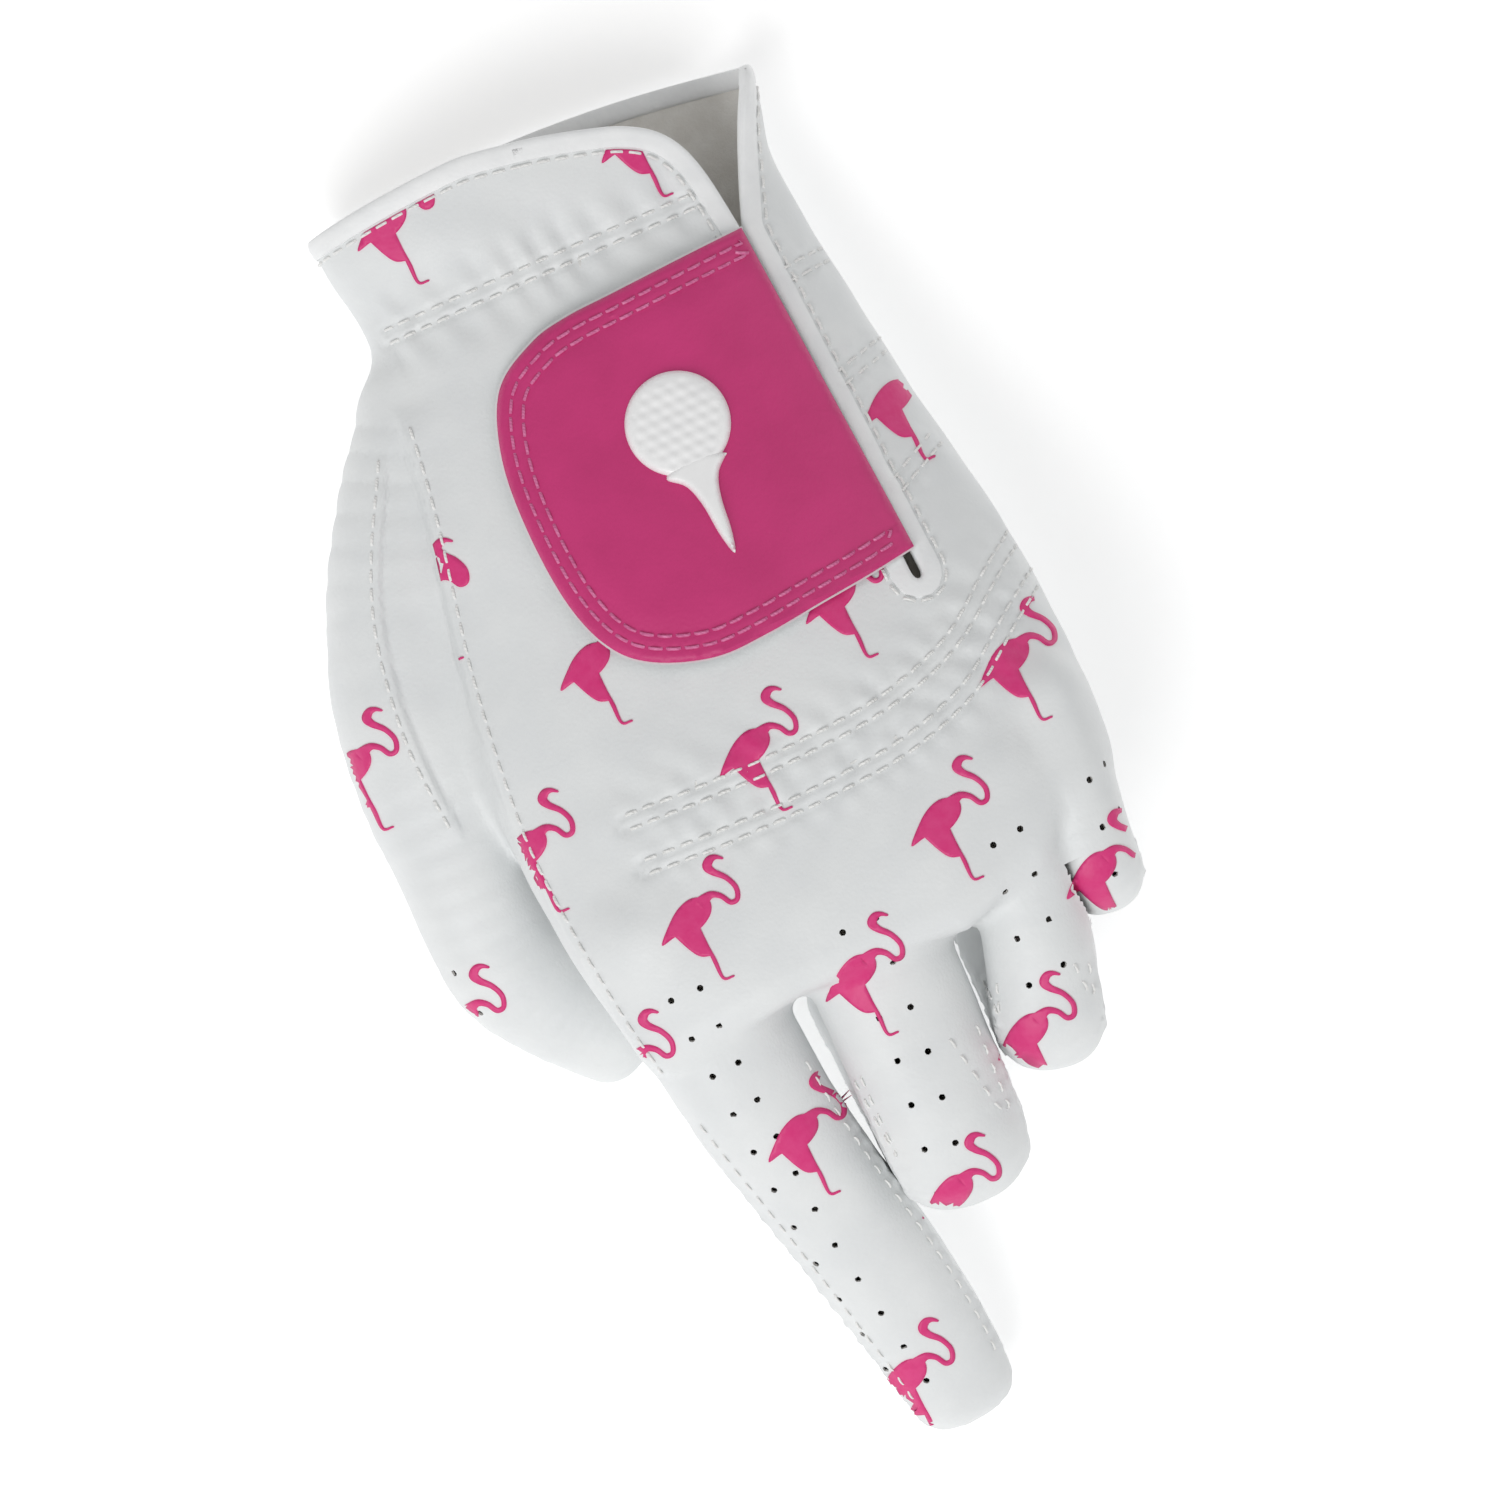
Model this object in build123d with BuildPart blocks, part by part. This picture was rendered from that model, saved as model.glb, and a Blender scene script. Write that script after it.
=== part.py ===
from build123d import *
import math
import os

# A left-hand golf glove lying palm down, as a relaxed hand would lie.
# +X is the thumb side, +Y the fingertips, +Z up. The origin is on the table
# under the heel of the palm. All sizes are in millimetres.

leather = 1.2  # wall of every leather panel
body_gap = 0.4  # space between pieces that move against each other
far = 400.0  # larger than the glove every way

# The hand: stations from the cuff to the knuckles.
# Each is (y, left x, right x, lowest z, highest z).
cuff_y = -67.2
knuckle_y = 76.0
hand_stations = [
    (cuff_y, -37.0, 37.5, -1.0, 24.0),
    (-45.0, -36.0, 36.0, -1.0, 25.0),
    (-15.0, -40.0, 41.0, -1.2, 34.0),
    (8.0, -43.5, 45.5, -0.8, 41.0),
    (38.0, -47.0, 48.0, 10.0, 49.0),
    (62.0, -46.5, 44.5, 23.0, 53.0),
    (knuckle_y, -44.5, 41.5, 27.0, 53.0),
]
corner_share = 0.42  # corner radius as a share of a section's thickness

# The fingers. Each root is at root_y, root_z. lean is the turn towards the
# thumb seen from above, fan the extra turn of the part beyond the bend.
root_y = 62.0
root_z = 38.5
curled_pitch = -8.0
fingers = {
    "index": dict(x=30.3, lean=-9.0, pitch=-19.0, base=25.0, beyond=65.5,
                  width=(23.6, 19.0), thick=(23.0, 15.0), sides=(-1,), fan=0.0),
    "middle": dict(x=1.4, lean=-1.5, pitch=curled_pitch, base=45.5, beyond=44.0,
                   width=(22.0, 18.0), thick=(23.0, 14.0), sides=(-1, 1), fan=-4.0),
    "ring": dict(x=-23.4, lean=6.0, pitch=curled_pitch, base=31.5, beyond=41.0,
                 width=(19.0, 15.5), thick=(22.0, 13.0), sides=(-1, 1), fan=-8.0),
    "little": dict(x=-39.2, lean=4.0, pitch=curled_pitch, base=13.0, beyond=35.0,
                   width=(15.0, 13.5), thick=(20.0, 12.5), sides=(1,), fan=-10.0),
}
index_notch = 34.0  # half angle of the V that lets the index finger bend
bend_share = 0.8  # thickness at the bend against the root's
knuckle_proud = 0.3  # a bent knuckle stands a little out of the finger
knuckle_round = 0.38  # its rounding as a share of its radius
hinge_clear = 0.35  # a finger folds about a line this far above its back
# Sections beyond a bend: (share of the length, width and thickness against the tip's).
tip_middle = 0.45  # share of the length where a tip is midway between both sizes
tip_steps = [(0.8, 0.0, 0.0), (0.94, -3.5, -2.5), (1.0, -10.0, -8.0)]
strip_share = 0.2  # half height of a side strip against the finger's thickness

# The thumb: stations along its middle, (x, y, z, width, thickness, heading).
thumb_stations = [
    (40.0, -28.0, 11.5, 15.0, 18.0, -16.0),
    (49.5, 0.0, 13.5, 24.0, 25.0, -15.0),
    (54.0, 22.0, 15.5, 24.5, 25.0, -6.0),
    (55.2, 49.0, 14.0, 20.4, 20.0, 6.0),
]
thumb_tip_heading = 31.0  # the tip turns in towards the index finger
thumb_tip_length = 21.0
thumb_tip_size = (15.5, 14.5)  # width and thickness near the end
thumb_tip_z = 9.0
thumb_tip_steps = [(0.55, 1.5, 1.0), (0.9, -2.0, -1.5), (1.0, -8.0, -7.0)]  # as tip_steps
thumb_part_line = [(0.0, 14.0), (51.0, 14.0), (90.0, 7.2), (90.0, far), (0.0, far)]  # y, z of the seam

# The closure tab in plan: its straight sewn edge, then its outline.
tab_edge_top = (-30.6, 18.1)
tab_edge_bottom = (-26.2, -39.2)
tab_top_end = (4.9, 21.5)
tab_bottom_end = (5.0, -37.6)
tab_nose = (24.1, -8.6)
tab_upper = (18.4, 15.0)
tab_lower = (19.2, -31.0)
tab_at_y = -9.0
tab_z = 38.7  # height of the lining's underside above the table at tab_at_y
tab_slope = 16.8  # the back of the hand rises towards the knuckles
tab_leather_thick = 1.0
lining_thick = 0.6
lining_reach = 0.6  # the lining shows past the tab's edge
hook_thick = 1.0
hook_inset = 10.0
loop_thick = 0.9
loop_inset = 7.0
stitch_rows = (2.2, 4.2)  # two rows of thread in from the tab's edge
thread = 0.5
badge_at = (-4.5, -9.5)
badge_thick = 2.0
ball_radius = 8.5
ball_offset = 5.5
dimple_radius = 0.9
dimple_pitch = 4.4
dimple_deep = 0.6
tee_gap = 0.8
tee_outline = [(-6.5, 6.0), (6.5, 6.0), (5.5, 10.5), (2.0, 13.0), (0.9, 20.0), (-0.9, 20.0), (-2.0, 13.0), (-5.5, 10.5)]

# The wrist opening in the back of the glove, in plan.
slit_half_width = 1.8
slit_end = (-29.3, 22.0)
v_top = (-26.2, -38.0)
v_left = (-36.9, -60.7)
flap_side = (-23.4, -50.0)
flap_corner = (-19.4, -58.8)
flap_end = (-6.0, -64.0)
opening_floor = 13.0  # the opening is cut through the back only, above this height
opening_past = 20.0  # how far the opening runs out past the cuff
slit_eye = 0.8  # how much wider the slit's round end is
slit_into_v = 4.0  # how far the slit runs into the V
binding_thick = 0.6
binding_width = 3.0

# Elastic tapes sewn inside the back: the middle line of the first one in plan.
elastic_thick = 0.8
tape_width = 4.4
knuckle_line = [(28.5, 47.3), (-0.5, 47.9), (-16.5, 46.4), (-29.5, 42.2), (-39.0, 35.2), (-46.0, 30.0)]
knuckle_step = -7.6  # from one knuckle tape to the next
wrist_line = [(-21.0, -46.2), (31.5, -46.2)]
row_offsets = (-1.15, 1.15)  # the two rows of thread that hold a tape
row_high = 0.3

# Heights of the line that parts the back panel from the palm panel, by y.
parting = [(-80.0, 11.5), (-45.0, 12.0), (-15.0, 16.4), (8.0, 20.1), (38.0, 29.5),
           (root_y, 38.0), (knuckle_y, 36.5), (130.0, 29.0)]
strip_half = 4.2  # half height of the strips between the fingers
strip_start = 71.0  # y where they start, in the crotches
strip_end = 136.0  # y past the ends of the bent fingers

os.makedirs("parts", exist_ok=True)


def save(piece, name):
    """Labels a finished piece and writes it as its own file."""
    piece.part.label = name
    export_step(piece.part, f"parts/{name}.step")
    print(name, round(piece.part.volume))


def whole(panel):
    """A panel without the crumbs that a neighbour's clearance cuts off it."""
    with BuildPart() as kept:
        add(panel.part.solids().sort_by(SortBy.VOLUME)[-1])
    return kept


def hand_shape(grow):
    """The closed outer shape of the hand, grown outwards or, below zero, shrunk."""
    with BuildPart() as shape:
        for y, left, right, low, high in hand_stations:
            wide = right - left + 2 * grow
            tall = high - low + 2 * grow
            at_end = y == knuckle_y
            place = ((left + right) / 2, y + grow * at_end, (low + high) / 2)
            with BuildSketch(Plane(place, x_dir=(1, 0, 0), z_dir=(0, 1, 0))):
                RectangleRounded(wide, tall, corner_share * tall)
        loft()
        with BuildSketch(Plane.XY.offset(-grow)):
            Rectangle(far, far)
        extrude(amount=far, mode=Mode.INTERSECT)
    return shape.part


def plan_prism(outline, low=-far / 2, high=far / 2):
    """A vertical prism over a closed outline of plan points."""
    with BuildPart() as prism:
        with BuildSketch(Plane.XY.offset(low)):
            with BuildLine():
                Polyline(*outline, close=True)
            make_face()
        extrude(amount=high - low)
    return prism.part


def heading(lean, pitch):
    """The direction of a finger that leans sideways and pitches up, in degrees."""
    side, up = math.radians(lean), math.radians(pitch)
    return Vector(math.sin(side) * math.cos(up), math.cos(side) * math.cos(up), math.sin(up))


def across(lean):
    """The level direction across a finger, towards the thumb."""
    side = math.radians(lean)
    return Vector(math.cos(side), -math.sin(side), 0)


def tube(stations, straight=False):
    """A lofted tube through (place, across, along, width, thickness) stations."""
    with BuildPart() as shape:
        for place, x_dir, along, wide, tall in stations:
            with BuildSketch(Plane(place, x_dir=x_dir, z_dir=along)):
                RectangleRounded(wide, tall, 0.4 * min(wide, tall))
        loft(ruled=straight)
    return shape.part


class Finger:
    """The lines and sections of one finger, worked out from its sizes."""

    def __init__(self, name, size):
        self.name = name
        self.sides = size["sides"]
        self.curled = name != "index"
        self.root = Vector(size["x"], root_y, root_z)
        self.base_way = heading(size["lean"], size["pitch"])
        self.base_across = across(size["lean"])
        self.bend = self.root + self.base_way * size["base"]
        self.wide_root, self.wide_tip = size["width"]
        self.thick_root, self.thick_tip = size["thick"]
        self.thick_bend = self.thick_root * bend_share
        self.wide_bend = (2 * self.wide_root + self.wide_tip) / 3
        self.length = size["beyond"]
        self.tip_across = across(size["lean"] + size["fan"])
        self.tip_way = self.base_way
        if self.curled:
            drop = self.bend.Z - self.thick_tip / 2 - leather
            down = -180 + math.degrees(math.asin(min(drop / self.length, 0.94)))
            self.tip_way = heading(size["lean"] + size["fan"], down)
        # The cut between the two bodies halves the angle of the bend.
        self.cut_normal = (self.base_way + self.tip_way).normalized()
        outward = self.base_across.cross(self.base_way)
        if self.curled:
            outward = (self.base_way - self.tip_way).normalized()
        proud = knuckle_proud if self.curled else 0.0
        self.apex = self.bend + outward * (self.thick_bend / 2 + proud + hinge_clear)

    def base_shape(self, grow):
        """The closed shape from inside the hand to the bend."""
        wide, tall = self.wide_root + 2 * grow, self.thick_root + 2 * grow
        wide_end, tall_end = self.wide_bend + 2 * grow, self.thick_bend + 2 * grow
        stations = [
            (self.root, self.base_across, self.base_way, wide, tall),
            (self.bend, self.base_across, self.base_way, wide_end, tall_end),
        ]
        shape = tube(stations)
        if self.curled:
            shape = shape + self.knuckle(grow)
        return shape

    def knuckle(self, grow):
        """The rounded end of a bent finger."""
        radius = self.thick_bend / 2 + knuckle_proud + grow
        wide = self.wide_bend - 2 * knuckle_proud + 2 * grow
        with BuildPart(Plane(self.bend, x_dir=self.base_way, z_dir=self.base_across)) as round_end:
            Cylinder(radius, wide)
            fillet(round_end.edges(), knuckle_round * radius)
        return round_end.part

    def tip_shape(self, grow):
        """The closed shape from the bend to the fingertip."""
        steps = [
            (0.0, self.wide_bend, self.thick_bend),
            (tip_middle, self.wide_tip + 1.0, (self.thick_bend + self.thick_tip) / 2),
        ]
        for share, wider, thicker in tip_steps:
            steps.append((share, self.wide_tip + wider, self.thick_tip + thicker))
        stations = []
        for share, wide, tall in steps:
            reach = share * self.length + grow * (share == 1.0)
            place = self.bend + self.tip_way * reach
            row = (place, self.tip_across, self.tip_way, wide + 2 * grow, tall + 2 * grow)
            stations.append(row)
        shape = tube(stations, straight=True)
        if self.curled:
            shape = shape + self.knuckle(grow)
        return shape

    def half_space(self, toward_tip, turn=0.0):
        """Everything on one side of the cut at the bend, half the body gap back."""
        sign = 1 if toward_tip else -1
        normal = self.cut_normal.rotate(Axis((0, 0, 0), self.base_across), sign * turn)
        start = self.bend if self.curled else self.apex
        plane = Plane(start + normal * sign * body_gap / 2, z_dir=normal * sign)
        with BuildPart() as side:
            with BuildSketch(plane):
                Rectangle(far, far)
            extrude(amount=far)
        return side.part

    def slab(self, low, high, side=0):
        """A slab along the tip between two heights towards its back, or one side of it."""
        plane = Plane(self.bend, x_dir=self.tip_across, z_dir=self.tip_way)
        with BuildPart(plane) as space:
            with Locations((side * far / 2, -(low + high) / 2, 0)):
                Box(far, high - low, far)
        return space.part


hand_outer = hand_shape(0)
hand_inner = hand_shape(-leather)
finger_list = [Finger(name, size) for name, size in fingers.items()]


def thumb_shape(grow):
    """The closed shape of the thumb as far as its bend."""
    stations = []
    for x, y, z, wide, tall, turn in thumb_stations:
        row = (Vector(x, y, z), across(-turn), heading(-turn, 0), wide + 2 * grow, tall + 2 * grow)
        stations.append(row)
    return tube(stations)


thumb_bend = Vector(*thumb_stations[-1][:3])
thumb_way = heading(-thumb_tip_heading, 0)
thumb_across = across(-thumb_tip_heading)
thumb_cut_heading = (thumb_tip_heading + thumb_stations[-1][5]) / 2
thumb_cut_way = heading(-thumb_cut_heading, 0)
# The thumb's tip swings about the outer corner of the bend.
thumb_pivot = thumb_bend + across(-thumb_cut_heading) * (thumb_stations[-1][3] / 2)


def thumb_tip_shape(grow):
    """The closed shape of the thumb beyond its bend."""
    wide_bend, tall_bend = thumb_stations[-1][3:5]
    wide, tall = thumb_tip_size
    steps = [(0.0, wide_bend, tall_bend)]
    for share, wider, thicker in thumb_tip_steps:
        steps.append((share, wide + wider, tall + thicker))
    stations = []
    for share, wide_here, tall_here in steps:
        reach = share * thumb_tip_length + grow * (share == 1.0)
        place = thumb_bend + thumb_way * reach
        drop = Vector(0, 0, (thumb_tip_z - thumb_bend.Z) * share)
        row = (place + drop, thumb_across, thumb_way, wide_here + 2 * grow, tall_here + 2 * grow)
        stations.append(row)
    return tube(stations, straight=True)


def thumb_side(toward_tip):
    """Everything on one side of the cut at the thumb's bend."""
    sign = 1 if toward_tip else -1
    plane = Plane(thumb_bend + thumb_cut_way * sign * body_gap / 2, z_dir=thumb_cut_way * sign)
    with BuildPart() as side:
        with BuildSketch(plane):
            Rectangle(far, far)
        extrude(amount=far)
    return side.part


def table_up():
    """Everything above the table."""
    with BuildPart() as space:
        with BuildSketch():
            Rectangle(far, far)
        extrude(amount=far)
    return space.part


above_table = table_up()
thumb_outer = (thumb_shape(0) & thumb_side(False)) & above_table
thumb_inner = thumb_shape(-leather) & thumb_side(False)


def side_profile(outline):
    """A level bar along X over a closed outline of (y, z) points."""
    with BuildPart() as bar:
        with BuildSketch(Plane.YZ.offset(-far / 2)):
            with BuildLine():
                Polyline(*outline, close=True)
            make_face()
        extrude(amount=far)
    return bar.part


back_side = side_profile(parting + [(130.0, far), (-80.0, far)])
strip_level = side_profile(
    [(y, z + strip_half) for y, z in parting] + [(y, z - strip_half) for y, z in reversed(parting)]
)


def opening_sketch(spread):
    """The wrist opening's outline in plan, spread outwards by an amount."""
    outside_y = cuff_y - opening_past
    with BuildSketch() as opening:
        with BuildLine():
            Polyline(flap_side, v_top, v_left, (v_left[0], outside_y), (flap_end[0], outside_y), flap_end)
            ThreePointArc(flap_end, flap_corner, flap_side)
        make_face()
        with BuildLine():
            slit = Line(slit_end, (v_top[0], v_top[1] - slit_into_v))
        trace(slit, 2 * slit_half_width)
        with Locations(slit_end):
            Circle(slit_half_width + slit_eye)
        offset(amount=spread)
    return opening.sketch


def opening_prism(spread):
    """The wrist opening, cut down through the back of the glove only."""
    with BuildPart() as prism:
        with BuildSketch(Plane.XY.offset(opening_floor)):
            add(opening_sketch(spread))
        extrude(amount=far)
    return prism.part


def ribbon_prism(points, wide, shift=0.0):
    """A vertical ribbon over a smooth line of plan points, moved along Y."""
    with BuildPart() as prism:
        with BuildSketch(Plane.XY.offset(opening_floor)):
            with BuildLine():
                moved = [(x, y + shift) for x, y in points]
                line = Spline(*moved) if len(moved) > 2 else Line(*moved)
            trace(line, wide)
        extrude(amount=far)
    return prism.part


def y_slab(low, high):
    """Everything between two values of y."""
    with BuildPart() as slab:
        with Locations((0, (low + high) / 2, 0)):
            Box(far, high - low, far)
    return slab.part


# The glove's whole closed shape, outside and inside the leather.
glove_outer = hand_outer
glove_inner = hand_inner
for finger in finger_list:
    turn = 0.0 if finger.curled else index_notch
    keep = finger.half_space(False, turn)
    glove_outer = glove_outer + (finger.base_shape(0) & keep)
    glove_inner = glove_inner + (finger.base_shape(-leather) & keep)

bound_edge = y_slab(cuff_y + binding_thick, far)
opening = opening_prism(0)
hand_leather = ((glove_outer - glove_inner) - thumb_inner) & bound_edge
strips = {}
for first, second in zip(finger_list, finger_list[1:]):
    names = f"{first.name}_{second.name}"
    corners = [
        (first.root.X, strip_start),
        (first.bend.X, strip_end),
        (second.bend.X, strip_end),
        (second.root.X, strip_start),
    ]
    strips[names] = plan_prism(corners) & strip_level

for names, region in strips.items():
    with BuildPart() as fourchette:
        add(hand_leather)
        add(region, mode=Mode.INTERSECT)
    save(whole(fourchette), f"fourchette_{names}")

with BuildPart() as back_panel:
    add(hand_leather)
    add(back_side, mode=Mode.INTERSECT)
    add(opening, mode=Mode.SUBTRACT)
    for region in strips.values():
        add(region, mode=Mode.SUBTRACT)
save(back_panel, "back_panel")

with BuildPart() as palm_panel:
    add(hand_leather)
    add(back_side, mode=Mode.SUBTRACT)
    for region in strips.values():
        add(region, mode=Mode.SUBTRACT)
save(palm_panel, "palm_panel")

# Bindings fold over the raw edges of the cuff and of the wrist opening.
wrap_outer = hand_shape(binding_thick)
wrap_inner = hand_shape(-leather - binding_thick)
with BuildPart() as cuff_binding:
    add(wrap_outer)
    add(y_slab(cuff_y, cuff_y + binding_width), mode=Mode.INTERSECT)
    add(wrap_inner, mode=Mode.SUBTRACT)
    add(hand_leather, mode=Mode.SUBTRACT)
    add(opening_prism(-binding_thick), mode=Mode.SUBTRACT)
    add(above_table, mode=Mode.INTERSECT)
save(cuff_binding, "cuff_binding")

with BuildPart() as slit_binding:
    add(wrap_outer)
    add(wrap_inner, mode=Mode.SUBTRACT)
    add(opening_prism(binding_width), mode=Mode.INTERSECT)
    add(opening_prism(-binding_thick), mode=Mode.SUBTRACT)
    add(y_slab(cuff_y + binding_width, far), mode=Mode.INTERSECT)
    add(back_panel.part, mode=Mode.SUBTRACT)
save(slit_binding, "slit_binding")

# The thumb's panels, open into the hand.
thumb_leather = (thumb_outer - thumb_inner) - glove_outer
thumb_split = thumb_bend.Z
with BuildPart() as thumb_top:
    with Locations((0, 0, thumb_split + far / 2)):
        Box(far, far, far)
with BuildPart() as thumb_back_panel:
    add(thumb_leather)
    add(thumb_top.part, mode=Mode.INTERSECT)
save(thumb_back_panel, "thumb_back_panel")
with BuildPart() as thumb_palm_panel:
    add(thumb_leather)
    add(thumb_top.part, mode=Mode.SUBTRACT)
save(thumb_palm_panel, "thumb_palm_panel")

# Elastic tapes under the back, and the rows of thread that hold them.
tape_space = hand_inner - hand_shape(-leather - elastic_thick)
thread_space = hand_shape(row_high) - hand_outer
tapes = {
    "knuckle_tape_front": (knuckle_line, 0.0),
    "knuckle_tape_rear": (knuckle_line, knuckle_step),
    "wrist_tape": (wrist_line, 0.0),
}
for name, (line, shift) in tapes.items():
    with BuildPart() as tape:
        add(tape_space)
        add(ribbon_prism(line, tape_width, shift), mode=Mode.INTERSECT)
        add(back_side, mode=Mode.INTERSECT)
        add(opening_prism(binding_width), mode=Mode.SUBTRACT)
        add(strip_level, mode=Mode.SUBTRACT)
    save(tape, name)
for name, steps in (("knuckle_stitching", (0.0, knuckle_step)), ("wrist_stitching", (0.0,))):
    line = knuckle_line if name == "knuckle_stitching" else wrist_line
    with BuildPart() as stitching:
        for step in steps:
            for row in row_offsets:
                add(thread_space & ribbon_prism(line, thread, step + row) & back_side)
        add(opening_prism(binding_width), mode=Mode.SUBTRACT)
        add(strip_level, mode=Mode.SUBTRACT)
    save(stitching, name)

# The moving parts of the fingers: back, palm and side strips. The bent ones are
# pressed against the palm, so the palm takes its room out of them.
hand_clear = hand_shape(body_gap)
for finger in finger_list:
    turn = 0.0 if finger.curled else index_notch
    keep = finger.half_space(True, turn)
    leather_wall = (finger.tip_shape(0) & keep) - (finger.tip_shape(-leather) & keep)
    if finger.curled:
        leather_wall = leather_wall - hand_clear
    half = strip_share * finger.thick_tip
    side = finger.sides[0] if len(finger.sides) == 1 else 0
    side_strip = finger.slab(-half, half, side)
    pieces = {
        "back": finger.slab(0, far) - side_strip,
        "palm": finger.slab(-far, 0) - side_strip,
        "fourchette": side_strip,
    }
    for piece, region in pieces.items():
        with BuildPart() as panel:
            add(leather_wall)
            add(region, mode=Mode.INTERSECT)
        save(whole(panel), f"{finger.name}_{piece}")

thumb_tip_wall = (thumb_tip_shape(0) - thumb_tip_shape(-leather)) & thumb_side(True)
for name, mode in (("thumb_tip_back", Mode.INTERSECT), ("thumb_tip_palm", Mode.SUBTRACT)):
    with BuildPart() as thumb_tip:
        add(thumb_tip_wall)
        add(side_profile(thumb_part_line), mode=mode)
    save(thumb_tip, name)

# The closure tab lies flat on a plane that rises with the back of the hand.
tab_rise = math.radians(tab_slope)


def tab_plane(height):
    """The tab's plane, a height above the underside of its lining."""
    normal = Vector(0, -math.sin(tab_rise), math.cos(tab_rise))
    place = Vector(0, tab_at_y, tab_z) + normal * height
    return Plane(place, x_dir=(1, 0, 0), z_dir=normal)


def on_tab(point):
    """A plan point in the tab plane's own coordinates."""
    return (point[0], (point[1] - tab_at_y) / math.cos(tab_rise))


def tab_face(inset):
    """The tab's outline, drawn in by an amount."""
    with BuildSketch() as face:
        with BuildLine():
            Polyline(on_tab(tab_bottom_end), on_tab(tab_edge_bottom), on_tab(tab_edge_top), on_tab(tab_top_end))
            ThreePointArc(on_tab(tab_top_end), on_tab(tab_upper), on_tab(tab_nose))
            ThreePointArc(on_tab(tab_nose), on_tab(tab_lower), on_tab(tab_bottom_end))
        make_face()
        if inset:
            offset(amount=-inset)
    return face.sketch


def tab_sheet(inset, low, thick):
    """A flat piece with the tab's outline, between two heights."""
    with BuildPart() as sheet:
        with BuildSketch(tab_plane(low)):
            add(tab_face(inset))
        extrude(amount=thick)
    return sheet.part


# The hooks' height under the tab, then the lining, the leather and what is on it.
leather_low = lining_thick
leather_top = leather_low + tab_leather_thick

with BuildPart() as tab_lining:
    add(tab_sheet(-lining_reach, 0, lining_thick))
save(tab_lining, "tab_lining")

with BuildPart() as tab_leather:
    add(tab_sheet(0, leather_low, tab_leather_thick))
save(tab_leather, "tab_leather")

with BuildPart() as hook_patch:
    add(tab_sheet(hook_inset, -hook_thick, hook_thick))
save(hook_patch, "hook_patch")

with BuildPart() as tab_stitching:
    for row in stitch_rows:
        add(tab_sheet(row, leather_top, row_high))
        add(tab_sheet(row + thread, leather_top, row_high), mode=Mode.SUBTRACT)
save(tab_stitching, "tab_stitching")

# The raised emblem: a dimpled ball on a tee.
badge_centre = on_tab(badge_at)
with BuildPart() as badge_ball:
    with BuildSketch(tab_plane(leather_top)):
        with Locations((badge_centre[0], badge_centre[1] - ball_offset)):
            Circle(ball_radius)
    extrude(amount=badge_thick)
    with BuildSketch(tab_plane(leather_top + badge_thick - dimple_deep)):
        with Locations((badge_centre[0], badge_centre[1] - ball_offset)):
            with HexLocations(dimple_pitch / 2, 3, 3):
                Circle(dimple_radius)
    extrude(amount=far, mode=Mode.SUBTRACT)
save(badge_ball, "badge_ball")

with BuildPart() as badge_tee:
    with BuildSketch(tab_plane(leather_top)):
        with Locations((badge_centre[0], badge_centre[1] - ball_offset)):
            with BuildLine():
                Polyline(*tee_outline, close=True)
            make_face()
            Circle(ball_radius + tee_gap, mode=Mode.SUBTRACT)
    extrude(amount=badge_thick)
save(badge_tee, "badge_tee")

# The soft half of the hook and loop fastener, sewn to the back under the tab.
loop_space = hand_shape(loop_thick) - hand_outer
with BuildPart() as loop_patch:
    with BuildSketch(tab_plane(-far / 2)):
        add(tab_face(loop_inset))
    extrude(amount=far)
    add(loop_space, mode=Mode.INTERSECT)
    add(opening_prism(binding_width + 1.0), mode=Mode.SUBTRACT)
    add(back_side, mode=Mode.INTERSECT)
save(loop_patch, "loop_patch")
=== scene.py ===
import math

import bpy
import numpy as np
from mathutils import Matrix, Vector
from mathutils.bvhtree import BVHTree
from mathutils.geometry import delaunay_2d_cdt


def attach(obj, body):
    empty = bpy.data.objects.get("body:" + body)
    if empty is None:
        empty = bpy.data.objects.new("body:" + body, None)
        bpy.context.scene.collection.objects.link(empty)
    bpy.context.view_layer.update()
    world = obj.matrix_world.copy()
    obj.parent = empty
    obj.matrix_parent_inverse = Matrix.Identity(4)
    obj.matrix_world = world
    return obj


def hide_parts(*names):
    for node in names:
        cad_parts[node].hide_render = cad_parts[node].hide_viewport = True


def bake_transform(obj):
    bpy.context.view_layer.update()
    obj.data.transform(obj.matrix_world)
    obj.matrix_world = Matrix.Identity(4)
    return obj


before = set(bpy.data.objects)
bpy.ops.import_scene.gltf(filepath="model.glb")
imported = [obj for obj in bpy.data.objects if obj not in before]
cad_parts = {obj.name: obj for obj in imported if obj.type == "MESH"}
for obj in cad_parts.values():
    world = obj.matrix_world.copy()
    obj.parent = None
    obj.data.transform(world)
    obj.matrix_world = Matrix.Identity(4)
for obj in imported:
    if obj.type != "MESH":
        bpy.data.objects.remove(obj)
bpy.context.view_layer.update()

# White sheepskin golf glove, left hand, back up. Shapes below are in millimetres
# and become metres when a mesh is made.
mm = 0.001
print("frame loaded,", len(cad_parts), "nodes")


# Small tools

def linearColour(hexText):
    values = [int(hexText[i:i + 2], 16) / 255 for i in (1, 3, 5)]
    return [v / 12.92 if v <= 0.04045 else ((v + 0.055) / 1.055) ** 2.4 for v in values] + [1.0]


def addNode(tree, kind, links=None, inputs=None, **settings):
    node = tree.nodes.new(kind)
    for key, value in settings.items():
        setattr(node, key, value)
    for key, value in (inputs or {}).items():
        node.inputs[key].default_value = value
    for key, socket in (links or {}).items():
        tree.links.new(socket, node.inputs[key])
    return node


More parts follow.
